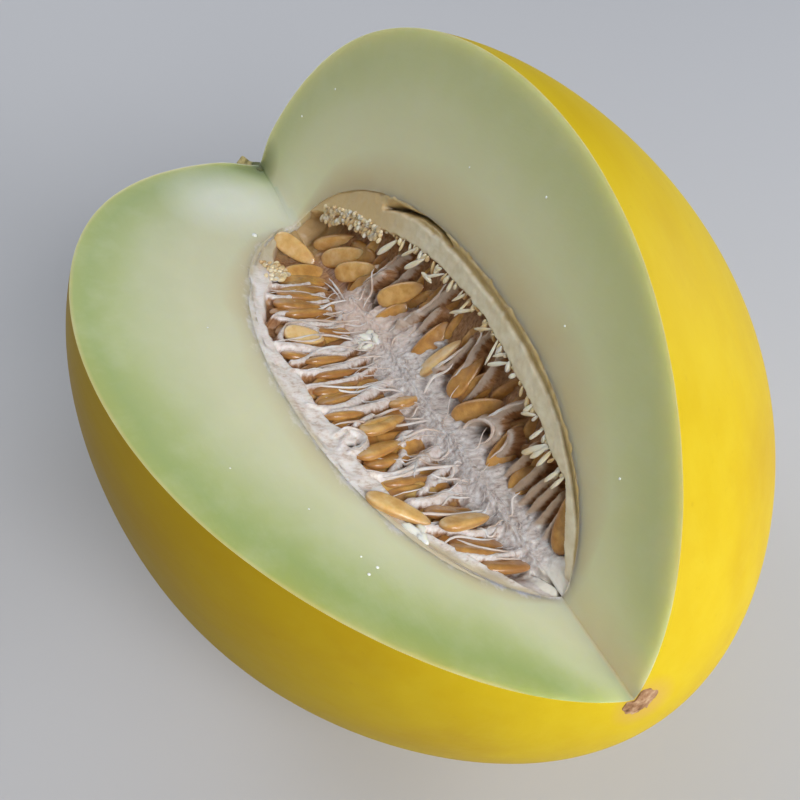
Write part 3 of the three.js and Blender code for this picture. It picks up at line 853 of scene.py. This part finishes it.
# Tint from pale to dark, one end, other end, and roll from edge-on to flat-on. Ends are
# along the melon, out from the seam and up from the cut face.
SHELF_SEEDS = [
    (0.12, (-58.8, 10.9, 0.6), (-47.7, 2.9, -1.5), 35),
    (0.30, (-42.2, 14.4, -2), (-46.3, 0.3, -3), 61),
    (0.45, (-39.5, 16.3, -2.5), (-40.8, 1.5, -3), 85),
    (0.52, (-36.4, 17.4, -2.4), (-36.6, 3.2, -3.2), 100),
    (0.55, (-38.2, 16.4, -2.5), (-35.9, 4, -2.5), 97),
    (0.50, (-34.6, 19.4, -2.3), (-32.3, 6, -2.5), 108),
    (0.55, (-29.9, 22.2, -1.9), (-28, 8.4, -2.2), 103),
    (0.45, (-25.2, 21.1, -2), (-25.9, 7.6, -2), 113),
    (0.62, (-18, 17, -2), (-16.5, 6, -2.2), 110),
    (0.00, (-15.7, 25, -0.6), (-12.8, 15.0, -1.1), 75),
    (0.50, (-9.2, 28, -2), (-6.1, 18, -2.4), 116),
    (0.42, (-4.9, 23.8, -1.7), (-6.3, 11.1, -2.2), 130),
    (0.60, (0.2, 23.5, -2), (-1.2, 9.7, -2.2), 123),
    (0.60, (6.2, 25.7, -2), (2.7, 12.3, -2), 100),
    (0.48, (10.4, 26, -2.2), (7.7, 14, -2.2), 118),
    (0.38, (15.3, 27, -1.7), (14.8, 16.2, -2), 132),
    (0.26, (14.9, 9.1, -0.4), (11.5, 0.3, -0.9), 123),
    (0.30, (22.9, 21.1, -0.5), (17.9, 7.4, -1), 110),
    (0.34, (20.4, 20.7, -1.4), (17.0, 9.1, -1.7), 131),
    (0.32, (30.3, 25.4, -0.8), (26, 12.2, -1.2), 118),
    (0.44, (31.9, 24, -1.6), (30.2, 11.2, -2), 116),
    (0.52, (37.7, 23, -2), (37.5, 9.7, -2), 117),
    (0.30, (38.4, 23.7, -2.2), (42.2, 10.6, -2.2), 66),
    (0.12, (42.4, 29.4, 0.5), (52.4, 18.3, -0.2), 98),
    (0.20, (53.8, 16.8, 0), (53, 4.2, 0.3), 113),
    (0.55, (47.3, 17, -1.9), (49.9, 5, -2.2), 112),
    (0.46, (58.4, 17, -1.6), (62.3, 5.4, -1.6), 118),
    (0.60, (56.4, 15.4, -2.2), (59.8, 3.4, -2.2), 104),
    (0.56, (64.2, 12.4, -1.8), (66.4, 0.2, -1.8), 112),
]
WALL_SEEDS = [
    (0.14, (-58.3, -2.8, -2.5), (-48.3, 7.8, -6.5), 28),
    (0.10, (-52.6, -3.4, -2.5), (-40.6, 7.6, -6.2), 75),
    (0.16, (-43.1, -1.8, -1.8), (-32.2, 8.0, -5.2), 75),
    (0.40, (-41, 2, -6.5), (-37, 12, -8.5), 70),
    (0.42, (-33.6, -3.5, -3.2), (-31.2, 8.5, -8), 70),
    (0.50, (-36, -3.7, -4.2), (-36.8, 7, -9.5), 60),
    (0.45, (-48, 5.1, -6.5), (-35.6, 8.4, -7), 88),
    (0.40, (-32.9, -3.1, -2.5), (-32.9, 9.1, -7), 87),
    (0.26, (-20.6, 4.9, -1.5), (-12.4, 16.0, -6), 68),
    (0.34, (-16.1, -1.8, -1), (-14.0, 9.0, -5.4), 51),
    (0.46, (2.3, 1.2, -2), (1.2, 14.6, -7), 45),
    (0.02, (6.7, 2.0, -1.2), (9.6, 15.0, -5.8), 119),
    (0.48, (18.8, 5, -2), (16.7, 17.4, -7), 81),
    (0.50, (19.7, 4.8, -4.5), (24.7, 17.7, -8), 62),
    (0.42, (22.9, 2.1, -2), (30.8, 13.2, -6.5), 74),
    (0.40, (41.5, 1, -2.5), (38.3, 14, -7.5), 48),
    (0.34, (49.6, 2.6, -2.8), (47.1, 12.4, -7.8), 73),
    (0.46, (68.4, 3.4, -2.5), (62.8, 17.0, -3.0), 84),
    (0.46, (13.2, 12.4, -6.5), (16.4, 22.3, -8.2), 34),
    (0.44, (-9.6, 9.4, -6.6), (-0.4, 18.2, -8), 75),
    (0.38, (46.6, 8.2, -6), (51.2, 15.6, -7.4), 56),
]
# Seeds in rows: on the wall or not, from, to, pitch, outer end, up, and room to the edge.
SEED_ROWS = [
    (False, -38, 60, 4.4, 18.5, -3.2, 6.5),
    (False, -26, 44, 4.8, 27, -3.0, 6),
    (True, -50, 58, 5.4, 15, -8.2, 9),
    (True, -44, 52, 6.1, 22, -8.4, 7.5),
    (True, -30, 60, 7.0, 11, -7.4, 10),
]


def uneven(i, kind):
    """Repeatable unevenness between -1 and 1 for item number i."""
    wave = sin(i * 12.9898 + kind * 78.233) * 43758.5453
    return 2 * (wave - wave // 1) - 1


def on_face(wall, spot):
    out_way, up_way = (WALL_OUT, WALL_UP) if wall else (SHELF_OUT, SHELF_UP)
    x, out, up = spot
    return Vector(SEAM + np.array([x, 0, 0]) + out * out_way + up * up_way)


def seed_rule(places):
    along = np.clip(places[:, 2], -1, 1)
    round_width = np.sqrt(1 - along ** 2) + 1e-6
    width = (1 - np.abs(along) ** np.where(along > 0, 2.0, 3.0)) ** 0.5
    width = width * (1 - 0.15 * along) / round_width
    across = places[:, 0] * width
    flat = np.minimum(1, 1.35 * np.abs(places[:, 1]) / round_width)
    thick = np.sign(places[:, 1]) * round_width * flat ** 0.8 * width
    return np.column_stack([0.5 * SEED_LENGTH * along, 0.5 * SEED_WIDTH * across,
                            0.5 * SEED_THICKNESS * thick])


def base_seed():
    bpy.ops.mesh.primitive_uv_sphere_add(segments=20, ring_count=14, radius=1)
    seed = bpy.context.object
    bpy.ops.object.shade_smooth()
    reshape(seed, seed_rule)
    spots = places_of(seed)
    mark(seed, "lengthwise", spots[:, 0] / SEED_LENGTH)
    mark(seed, "rim", 1 - np.abs(spots[:, 2]) / (0.5 * SEED_THICKNESS))
    return seed


def seed_material():
    material, shader, nodes = new_material(
        "seed_skin", Coat_Weight=0.7, Coat_Roughness=0.09, Subsurface_Weight=0.35,
        Subsurface_Radius=(1.0, 0.55, 0.25), Subsurface_Scale=0.0014, IOR=1.4)
    blotch = nodes.clouds(nodes.place(), 330, 4, 0.6)
    tint = nodes.sums(nodes.attribute("tint"), nodes.band(blotch, 0.3, 0.7, -0.16, 0.16))
    colour = nodes.ramp(tint, [
        (0.00, (0.90, 0.63, 0.30)), (0.15, (0.82, 0.51, 0.18)), (0.35, (0.66, 0.35, 0.095)),
        (0.55, (0.47, 0.225, 0.06)), (0.80, (0.34, 0.15, 0.055))])
    tip = nodes.band(nodes.attribute("lengthwise"), 0.30, 0.50, 0, 0.45)
    colour = nodes.mix(tip, colour, (0.80, 0.56, 0.32))
    # Painted shade: each seed is painted darker towards its thin edge.
    rim = nodes.band(nodes.attribute("rim"), 0.35, 1.0, 0, 0.7)
    colour = nodes.mix(rim, colour, (0.36, 0.16, 0.05))
    dents = nodes.clouds(nodes.place(), 420, 4, 0.6)
    nodes.surface(shader, colour, nodes.band(blotch, 0.3, 0.7, 0.26, 0.45),
                  nodes.bump(dents, 0.45, 0.0005))
    return material


def copy_of(base):
    piece = base.copy()
    piece.data = base.data.copy()
    bpy.context.collection.objects.link(piece)
    return piece


def place_seed(base, wall, tint, start, end, roll):
    start, end = on_face(wall, start), on_face(wall, end)
    long = (end - start).normalized()
    side = long.cross(Vector(WALL_UP if wall else SHELF_UP)).normalized()
    raised = side.cross(long)
    thin = side * cos(radians(roll)) + raised * sin(radians(roll))
    wide = thin.cross(long)
    seed = copy_of(base)
    stretch = (end - start).length / SEED_LENGTH
    turn = Matrix((long * stretch, wide, thin)).transposed().to_4x4()
    seed.data.transform(Matrix.Translation((start + end) / 2) @ turn)
    mark(seed, "tint", np.full(len(seed.data.vertices), tint))
    return seed


def join_all(name, pieces):
    bpy.ops.object.select_all(action="DESELECT")
    for piece in pieces:
        piece.select_set(True)
    bpy.context.view_layer.objects.active = pieces[0]
    bpy.ops.object.join()
    whole = bpy.context.object
    whole.name = name
    return whole


def row_of_seeds(base, row, kind):
    wall, first, last, pitch, reach, up, margin = row
    seeds = []
    for i in range(int((last - first) / pitch) + 1):
        x = first + i * pitch + 0.8 * uneven(i, kind)
        slant = 1.5 + 2.5 * uneven(i, kind + 0.3)
        outer = min(reach + 1.8 * uneven(i, kind + 0.6), float(cavity_edge(np.array(x))) - margin)
        inner = outer - SEED_LENGTH + 1.2
        if inner < -4:
            continue
        tilt = (50 if wall else 110) + 25 * uneven(i, kind + 0.9)
        tint = 0.50 + 0.22 * uneven(i, kind + 0.5)
        lift = 0.5 * uneven(i, kind + 0.8)
        seeds.append(place_seed(
            base, wall, tint, (x - slant, inner, up + lift), (x + slant, outer, up - lift), tilt))
    return seeds


base = base_seed()
seeds = [place_seed(base, False, *seed) for seed in SHELF_SEEDS]
seeds += [place_seed(base, True, *seed) for seed in WALL_SEEDS]
for number, row in enumerate(SEED_ROWS):
    seeds += row_of_seeds(base, row, number + 1)
bpy.data.objects.remove(base)
seeds = join_all("seeds", seeds)
dress(seeds, seed_material())
lay_down(seeds)
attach(seeds, "root")
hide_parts("seed_core")

# ---------------------------------------------------------------- pulp fibres
# Fine wet fibres of the pulp: stretched between the ridge and the rim, felted over the
# ridge, and thicker torn films and strings over the seeds. Each is a thin tube.
# Torn strings: on the wall or not, half thickness, and points along, out and up.
STRINGS = [
    (True, 0.42, [(-10.1, 1.5, 0), (-8.7, 6.8, -1.6), (-6.3, 11.6, -2.6), (-3.1, 17.6, -3),
                  (0.3, 24.5, -1.2)]),
    (True, 0.35, [(-29.6, -1, -1), (-26.3, 1.4, -1.2), (-28.2, 4.8, -2.4), (-25.2, 10.4, -3.6)]),
    (True, 0.40, [(-30.8, 3.9, -3), (-25.9, 13.2, -3.8), (-22.3, 18.4, -2.6)]),
    (True, 0.35, [(6.2, 0.6, 0.4), (10, 6.6, -1.6), (12.7, 13.8, -3.4), (13.7, 18.3, -5)]),
    (True, 0.30, [(16.3, 7.4, -2), (16.5, 12.7, -3.4), (16.7, 19.4, -3.6), (18.7, 24.6, -1)]),
    (True, 0.45, [(32.3, 10.2, -2.4), (34.3, 14.3, -3), (39.1, 20.2, -2.4)]),
    (True, 0.45, [(31.5, 0.9, 0.2), (28.4, 4, -1.6), (31, 8.3, -2), (35.3, 9.9, -2),
                  (36.8, 7.5, -1.6), (35, 4, -0.6)]),
    (True, 0.30, [(40, 4.6, -1.4), (40.9, 9, -2.4), (39.5, 11.9, -3.4)]),
    (False, 0.40, [(23, 28, 0.2), (21.6, 24.6, 0.5), (23.3, 21.6, 0.3), (26, 21.4, 0.2),
                   (28.3, 24.0, 0.3), (28.8, 27, 0.2)]),
    (False, 0.36, [(30.5, 5, 0), (33, 11, 0), (36, 15, 0.1), (37, 20.5, 0.2), (35, 26, 0.2)]),
    (False, 0.30, [(29.5, 5.2, -0.2), (31, 9.4, -0.6), (34.8, 13, 0.3), (38.4, 15.2, -0.4)]),
    (False, 0.30, [(-16.2, 15.5, -0.3), (-19, 18.5, -0.2), (-18.5, 22.8, -0.2), (-15, 26, 0)]),
    (False, 0.28, [(-16.2, 15.5, -0.3), (-12.4, 16.6, -0.2), (-10.8, 21, 0), (-12, 26, 0)]),
    (False, 0.30, [(-41, 0.9, -2.4), (-35, 1.2, -1.8), (-28.5, 2.0, -0.6)]),
    (False, 0.24, [(-40, 2.6, -2.6), (-34.5, 2.2, -1.8), (-29, 3.0, -0.8)]),
    (False, 0.34, [(57.2, 14.5, -0.7), (60.6, 10, -0.5), (63.2, 4, -0.3)]),
    (False, 0.26, [(61.8, 13, -0.8), (63.8, 8, -0.6), (65.4, 3, -0.5)]),
]
# Fine fibres by the score: on the wall or not, how many, from, to, first reach, last reach
# out from the seam, sag between their ends, and half thickness.
FIBRES = [
    (False, 30, -36, 64, 3.0, 25, 0.4, 0.30),
    (False, 26, -34, 60, 2.0, 11, 0.2, 0.26),
    (True, 7, -28, 60, 1.0, 7, 0.4, 0.26),
]
# The fuzz on the ridge: how many short hairs, from and to along the melon.
RIDGE_FUZZ = (150, -30, 64)


def tubes(name, lines, sides=0):
    """One mesh of thin tubes, each along its own points and with its own thickness."""
    curve = bpy.data.curves.new(name, "CURVE")
    curve.dimensions = "3D"
    curve.bevel_depth = 1.0
    curve.bevel_resolution = sides
    curve.use_fill_caps = True
    for points, thickness in lines:
        spline = curve.splines.new("POLY")
        spline.points.add(len(points) - 1)
        spline.points.foreach_set("co", np.column_stack([points, np.ones(len(points))]).ravel())
        spline.points.foreach_set("radius", thickness)
        spline.use_smooth = True
    piece = bpy.data.objects.new(name, curve)
    bpy.context.collection.objects.link(piece)
    select_only(piece)
    bpy.ops.object.convert(target="MESH")
    return bpy.context.object


def tapered(count, thickness, ends=0.2):
    t = np.linspace(0, 1, count)
    return thickness * (ends + (1 - ends) * np.sin(pi * t) ** 0.7)


def string_line(wall, thickness, points):
    flat = smooth_line([p[:2] for p in points], 6)
    up = smooth_line([(i, p[2]) for i, p in enumerate(points)], 6)[:, 1]
    side = np.full(len(flat), wall)
    wobble = waves(np.column_stack([flat, up]), 1.6, 12)
    width = tapered(len(flat), thickness) * (1 + 0.5 * wobble)
    flat = flat + 0.25 * np.column_stack([waves(np.column_stack([flat, up]), 2.0, 13), wobble])
    return folded(flat[:, 0], np.maximum(0, flat[:, 1]), side, up), width


def fibre_lines():
    """Fine fibres, laid on the pulp but bridging its hollows."""
    count = 12
    t = np.linspace(0, 1, count)
    spots, kinds = [], []
    for kind, (wall, number, first, last, near, far, sag, thickness) in enumerate(FIBRES):
        for i in range(number):
            x0 = first + (last - first) * (i + 0.5 + 0.5 * uneven(i, 20 + kind)) / number
            rim = WALL_BAND if wall else SHELF_BAND
            room = float(np.interp(x0, *rim)) + (-1.0 if wall else 2.5)
            end = min(far + 5 * uneven(i, 30 + kind), room)
            start = max(0.4, near + 1.5 * uneven(i, 40 + kind))
            if end - start < 3:
                continue
            x = x0 + 2.6 * uneven(i, 50 + kind) * t + 1.3 * np.sin(
                4.0 * t + 6 * uneven(i, 60 + kind)) + 0.5 * np.sin(9 * t + 6 * uneven(i, 65))
            spots.append((x, start + (end - start) * t, np.full(count, wall)))
            kinds.append((sag * (1 + uneven(i, 70 + kind)),
                          thickness * (1 + 0.6 * uneven(i, 80 + kind))))
    hairs, first, last = RIDGE_FUZZ
    for i in range(hairs):
        x0 = first + (last - first) * (i + 0.5) / hairs
        turn = pi * uneven(i, 90)
        length = 2.2 + 1.4 * uneven(i, 91)
        wall = uneven(i, 92) > 0
        middle = abs(4.5 * uneven(i, 93)) * (0.6 if wall else 1)
        bend = 0.8 * uneven(i, 94) * np.sin(pi * t)
        x = x0 + length * (t - 0.5) * cos(turn) - bend * sin(turn)
        out = np.abs(middle + length * (t - 0.5) * sin(turn) + bend * cos(turn))
        spots.append((x, out, np.full(count, wall)))
        kinds.append((0.1, 0.10 + 0.03 * uneven(i, 95)))
    x, out, wall = (np.concatenate(part) for part in zip(*spots))
    height = pulp_field(x, out, wall)[0]
    lines = []
    for i, (sag, thickness) in enumerate(kinds):
        part = slice(i * count, (i + 1) * count)
        ends = np.maximum(height[part][[0, -1]], -1.6)
        bridge = ends[0] + (ends[1] - ends[0]) * t - sag * np.sin(pi * t)
        top = np.maximum(height[part], bridge) + 0.06 - 0.45 * np.abs(2 * t - 1) ** 6
        lines.append((folded(x[part], out[part], wall[part], top), tapered(count, thickness)))
    return lines


def fibre_material():
    material, shader, nodes = new_material(
        "wet_fibre", Coat_Weight=0.4, Coat_Roughness=0.15, Subsurface_Weight=0.5,
        Subsurface_Radius=(1.0, 0.75, 0.6), Subsurface_Scale=0.0015, Roughness=0.4, IOR=1.38)
    cloud = nodes.clouds(nodes.place(), 130, 2)
    colour = nodes.ramp(cloud, [(0.34, (0.58, 0.43, 0.34)), (0.50, (0.78, 0.66, 0.59)),
                                (0.64, (0.90, 0.86, 0.83))])
    nodes.surface(shader, colour)
    return material


lines = [string_line(*string) for string in STRINGS] + fibre_lines()
fibres = tubes("pulp_fibres", lines, 1)
dress(fibres, fibre_material())
lay_down(fibres)
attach(fibres, "root")
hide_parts("seed_core")

# ---------------------------------------------------------------- pegs
# The torn ends of the cords that fed the seeds: small wet white pegs along the inner edge
# of the wall's rim, patches of round pulp beads near the stem end, and clear icy lumps.
# Each peg: its tip and its root, along and out, and its half thickness.
PEGS = [
    ((-29, 13.5), (-25.2, 19.0), 1.15), ((-19.6, 19.2), (-16.2, 23.2), 0.7),
    ((-16.4, 17.5), (-12.6, 22), 1.05), ((-9.3, 21.4), (-5.8, 21.6), 0.9),
    ((-8.4, 20.4), (-3.6, 24.4), 0.6), ((4.9, 22.7), (7.7, 26.2), 0.6),
    ((5.8, 19.9), (11, 24.3), 0.75), ((8, 19.8), (10.2, 26.2), 0.5),
    ((15.8, 22.6), (20, 25.6), 0.6), ((25, 19.3), (29, 22.8), 0.8),
    ((25.4, 22), (28.4, 24.9), 0.6), ((24.9, 18.3), (24.7, 24.6), 0.5),
    ((41.2, 18.7), (44, 20.7), 0.7), ((47, 16.2), (48.4, 19.6), 0.7),
    ((47.2, 12.3), (50.5, 17), 1.15), ((49.9, 13.2), (51.7, 17.4), 0.9),
    ((52.6, 13.4), (53.6, 17.6), 0.8), ((56.4, 12.6), (57.8, 16.4), 0.75),
    ((58.8, 12.7), (59.9, 16.5), 0.7),
]
# The small pegs between them: from, to, and pitch along the melon.
SMALL_PEGS = (-28, 62, 1.9)
# Patches of beads: on the wall or not, half the patch's width, how many, and its middle.
BEADS = [
    (True, 2.4, 150, [(-57.0, 8.8), (-53.2, 10.2), (-48.2, 13.2), (-42.6, 15.3), (-36.2, 17.3),
                      (-29.8, 18.9)]),
    (False, 3.2, 44, [(-46.2, 17.4), (-43.5, 16.2), (-41.0, 17.0), (-38.2, 19.0)]),
]
# Clear icy lumps on the ridge and the rim: along, out, half length, and turn in degrees.
ICE = ((-10.8, 5.6, 2.3, 20), (-9.0, 3.9, 2.2, 70), (-11.8, 3.2, 2.0, 120), (-9.8, 2.0, 1.8, 10),
       (-12.9, 2.0, 1.3, 60), (53.4, 23.6, 2.2, 150), (55.4, 22.4, 2.0, 170),
       (54.0, 21.6, 1.6, 30))


def base_drop():
    """A small ball, which a rule draws out into a peg, a bead or a drop."""
    bpy.ops.mesh.primitive_uv_sphere_add(segments=12, ring_count=9, radius=1)
    drop = bpy.context.object
    bpy.ops.object.shade_smooth()
    return drop


def place_drop(base, wall, tip, root, thickness, waist=0.35, whiteness=0.5, lumpy=0.14):
    tip, root = on_face(wall, tip), on_face(wall, root)
    long = (tip - root) / 2
    turn = long.to_track_quat("Z", "Y").to_matrix()
    drop = copy_of(base)

    def rule(places):
        thick = thickness * (1 - waist * (1 - places[:, 2]) / 2)
        local = np.column_stack([places[:, 0] * thick, places[:, 1] * thick,
                                 places[:, 2] * (long.length + 0.5 * thickness)])
        lumps = waves(local + 7 * np.array(tip), 1.2 * thickness)
        local = local + lumpy * thickness * lumps[:, None]
        return local @ np.array(turn).T + np.array((tip + root) / 2)

    reshape(drop, rule)
    mark(drop, "whiteness", np.full(len(drop.data.vertices), whiteness))
    return drop


def peg_material():
    material, shader, nodes = new_material(
        "wet_peg", Coat_Weight=0.6, Coat_Roughness=0.10, Subsurface_Weight=0.5,
        Subsurface_Radius=(1.0, 0.8, 0.5), Subsurface_Scale=0.0015, Roughness=0.3, IOR=1.38)
    cloud = nodes.clouds(nodes.place(), 170, 2)
    tone = nodes.sums(nodes.attribute("whiteness"), nodes.band(cloud, 0.3, 0.7, -0.25, 0.25))
    colour = nodes.ramp(tone, [(0.0, (0.62, 0.38, 0.17)), (0.4, (0.94, 0.70, 0.40)),
                               (0.85, (1.0, 0.94, 0.78))])
    nodes.surface(shader, colour)
    return material


base = base_drop()
drops = []
for (x, out), (root_x, root_out), half in PEGS:
    root = (1.4 * root_x - 0.4 * x, 1.4 * root_out - 0.4 * out, -0.8)
    x, out = 0.84 * x + 0.16 * root_x, 0.84 * out + 0.16 * root_out
    drops.append(place_drop(base, True, (x, out, -0.9), root, 0.85 * half, 0.40, 0.66, 0.30))
for x, out, half, turn in ICE:
    up = float(pulp_field(np.array([x]), np.array([out]), np.array([False]))[0][0])
    step = half * cos(radians(turn)), half * sin(radians(turn))
    drops.append(place_drop(base, False, (x - step[0], out - step[1], up - 0.1),
                            (x + step[0], out + step[1], up - 0.2), 1.2, 0.15, 1.0, 0.4))
first, last, pitch = SMALL_PEGS
for i in range(int((last - first) / pitch)):
    x = first + pitch * (i + 0.4 * uneven(i, 1))
    root = float(np.interp(x, *WALL_BAND)) + 0.4
    reach = 1.6 + 1.5 * uneven(i, 2)
    tip = (x - 0.6 + 1.0 * uneven(i, 3), root - reach, -1.7 - 0.8 * uneven(i, 4))
    drops.append(place_drop(base, True, tip, (x, root + 0.4, -0.8), 0.6 + 0.25 * uneven(i, 5),
                            0.35, 0.5 + 0.35 * uneven(i, 27)))
for patch, (wall, half_width, count, points) in enumerate(BEADS):
    line = smooth_line(points, 40)
    for i in range(count):
        x, out = line[int((len(line) - 1) * (i + 0.5) / count)]
        across = uneven(i, 6 + patch)
        x, out = x + 1.2 * uneven(i, 8 + patch), out + half_width * across
        size = 0.62 + 0.18 * uneven(i, 17 + patch)
        up = -0.15 + 0.35 * across + 0.2 * uneven(i, 11 + patch)
        reach = size * (1.0 - 0.8 * across)
        whiteness = 0.36 + 0.30 * uneven(i, 21 + patch)
        tip = (x + 0.4 * uneven(i, 20), out - 0.5 * size, up)
        root = (x, out + reach, up - 0.3 * reach)
        drops.append(place_drop(base, wall, tip, root, size, 0.2, whiteness, 0.08))
bpy.data.objects.remove(base)
pegs = join_all("pegs", drops)
dress(pegs, peg_material())
lay_down(pegs)
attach(pegs, "root")
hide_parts("seed_core")

# ---------------------------------------------------------------- stem stub
# What is left of the stalk: a short woody knob, ribbed lengthwise, green where it joins
# the rind and dry and yellow-brown at its flared end.
STUB_BASE = (-97.5, -1.9, 3.6)
STUB_TIP = (-106.7, -6, 7.6)
STUB_HALF = ((0.0, 0.15, 0.38, 0.58, 0.70, 0.86, 0.96, 1.0),
             (4.4, 4.2, 3.0, 1.9, 1.75, 2.15, 1.95, 1.0))


def stub_rule(places):
    start, end = Vector(STUB_BASE), Vector(STUB_TIP)
    turn = np.array((end - start).to_track_quat("Z", "Y").to_matrix())
    along = np.clip((places[:, 2] + 1) / 2, 0, 1)
    ring = np.hypot(places[:, 0], places[:, 1]) + 1e-9
    angle = np.arctan2(places[:, 1], places[:, 0])
    profile = np.interp(along, *STUB_HALF) * np.minimum(1, ring / 0.35)
    ribs = 1 + 0.10 * np.cos(5 * angle + 2 * along) + 0.10 * waves(places * 2, 0.9, 14)
    hollow = 0.5 * (along > 0.95) * np.maximum(0, 0.3 - ring)
    local = np.column_stack([profile * ribs * places[:, 0] / ring,
                             profile * ribs * places[:, 1] / ring,
                             (end - start).length * (along - hollow)])
    return local @ turn.T + np.array(start)


def stub_material():
    material, shader, nodes = new_material("dry_stalk", IOR=1.4)
    cloud = nodes.clouds(nodes.place(), 500, 4, 0.6)
    green = nodes.ramp(cloud, [(0.35, (0.07, 0.085, 0.025)), (0.65, (0.16, 0.17, 0.07))])
    dry = nodes.ramp(cloud, [(0.35, (0.34, 0.26, 0.10)), (0.65, (0.60, 0.50, 0.22))])
    along = nodes.sums(nodes.attribute("along"), nodes.band(cloud, 0.3, 0.7, -0.15, 0.15))
    colour = nodes.mix(nodes.band(along, 0.50, 0.78), green, dry)
    nodes.surface(shader, colour, nodes.band(cloud, 0.3, 0.7, 0.55, 0.8),
                  nodes.bump(cloud, 0.5, 0.0006))
    return material


stub = round_block("stalk_stub", 40, 28, lambda places: places)
mark(stub, "along", (places_of(stub)[:, 2] + 1) / 2)
reshape(stub, stub_rule)
dress(stub, stub_material())
lay_down(stub)
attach(stub, "root")
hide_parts("stem_stub")

# ---------------------------------------------------------------- blossom scar
# The corky scar where the flower was, just under the end of the seam: a thin brown crust,
# cracked and lumpy, that the cut has left whole.
SCAR_MIDDLE = (-0.6, 4.9)
SCAR_HALF = (3.8, 3.6)


def scar_rule(places):
    y = SCAR_MIDDLE[0] + SCAR_HALF[0] * places[:, 0]
    z = SCAR_MIDDLE[1] + SCAR_HALF[1] * places[:, 1]
    ring = np.hypot(places[:, 0], places[:, 1])
    spot = np.column_stack([y, z, 0 * y])
    edge = 1 + 0.22 * waves(spot, 1.6, 15)
    y = SCAR_MIDDLE[0] + (y - SCAR_MIDDLE[0]) * edge
    z = SCAR_MIDDLE[1] + (z - SCAR_MIDDLE[1]) * edge
    z = np.minimum(z, SEAM_HEIGHT + 0.80 * np.abs(y - SEAM_SIDE) - 0.02)
    lumps = 0.12 * waves(spot, 0.8, 16) + 0.14 * waves(spot, 1.9, 17)
    x = half_length - 0.16 - 0.25 * (y ** 2 + z ** 2) / 45
    x = x + np.where(places[:, 2] > 0, 0.22 * (1 - ring ** 3) + lumps * (1 - ring ** 4), -0.9)
    return np.column_stack([x, y, z])


def scar_material():
    material, shader, nodes = new_material("corky_scar", IOR=1.4)
    cloud = nodes.clouds(nodes.place(), 520, 4, 0.6)
    colour = nodes.ramp(cloud, [
        (0.30, (0.07, 0.03, 0.010)), (0.44, (0.25, 0.12, 0.05)), (0.58, (0.36, 0.195, 0.095)),
        (0.76, (0.58, 0.39, 0.22))])
    nodes.surface(shader, colour, nodes.band(cloud, 0.4, 0.7, 0.8, 0.5),
                  nodes.bump(cloud, 0.6, 0.0006))
    return material


scar = round_block("blossom_scar", 48, 40, scar_rule)
dress(scar, scar_material())
lay_down(scar)
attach(scar, "root")

# ---------------------------------------------------------------- juice drops
# A few beads of juice that the knife pressed out. They stand on the cut flesh as low domes,
# painted near-white as painted glints, and catch the light.
# Each: on the wall or not, along, out, and half width in millimetres.
JUICE = [
    (False, -59.5, 16.4, 0.8), (False, 61.5, 35.5, 0.36), (False, 62.8, 38, 0.36),
    (False, 58.2, 37.6, 0.24), (False, 44, 43, 0.22), (False, -18, 44, 0.24),
    (False, 30, 55, 0.22), (True, -88, 23, 0.34), (True, -77, 37, 0.30), (True, 72, 28, 0.30),
    (True, 17, 58, 0.32), (True, -10, 50, 0.26), (True, 40, 41, 0.26),
]


def juice_drop(base, wall, x, out, half):
    drop = copy_of(base)
    side = np.full(len(drop.data.vertices), wall)
    reshape(drop, lambda places: folded(x + half * places[:, 0], out + half * places[:, 1],
                                        side, 0.6 * half * places[:, 2]))
    return drop


base = base_drop()
drops = [juice_drop(base, *drop) for drop in JUICE]
bpy.data.objects.remove(base)
juice = join_all("juice_drops", drops)
# Painted glint: the drops are opaque near-white, not clear, so they show as white glints.
juice_glint_paint = new_material("juice_painted_glint", Base_Color=(0.97, 0.98, 0.94, 1), Roughness=0.15,
                           IOR=1.36, Coat_Weight=1.0, Coat_Roughness=0.1)[0]
dress(juice, juice_glint_paint)
lay_down(juice)
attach(juice, "root")
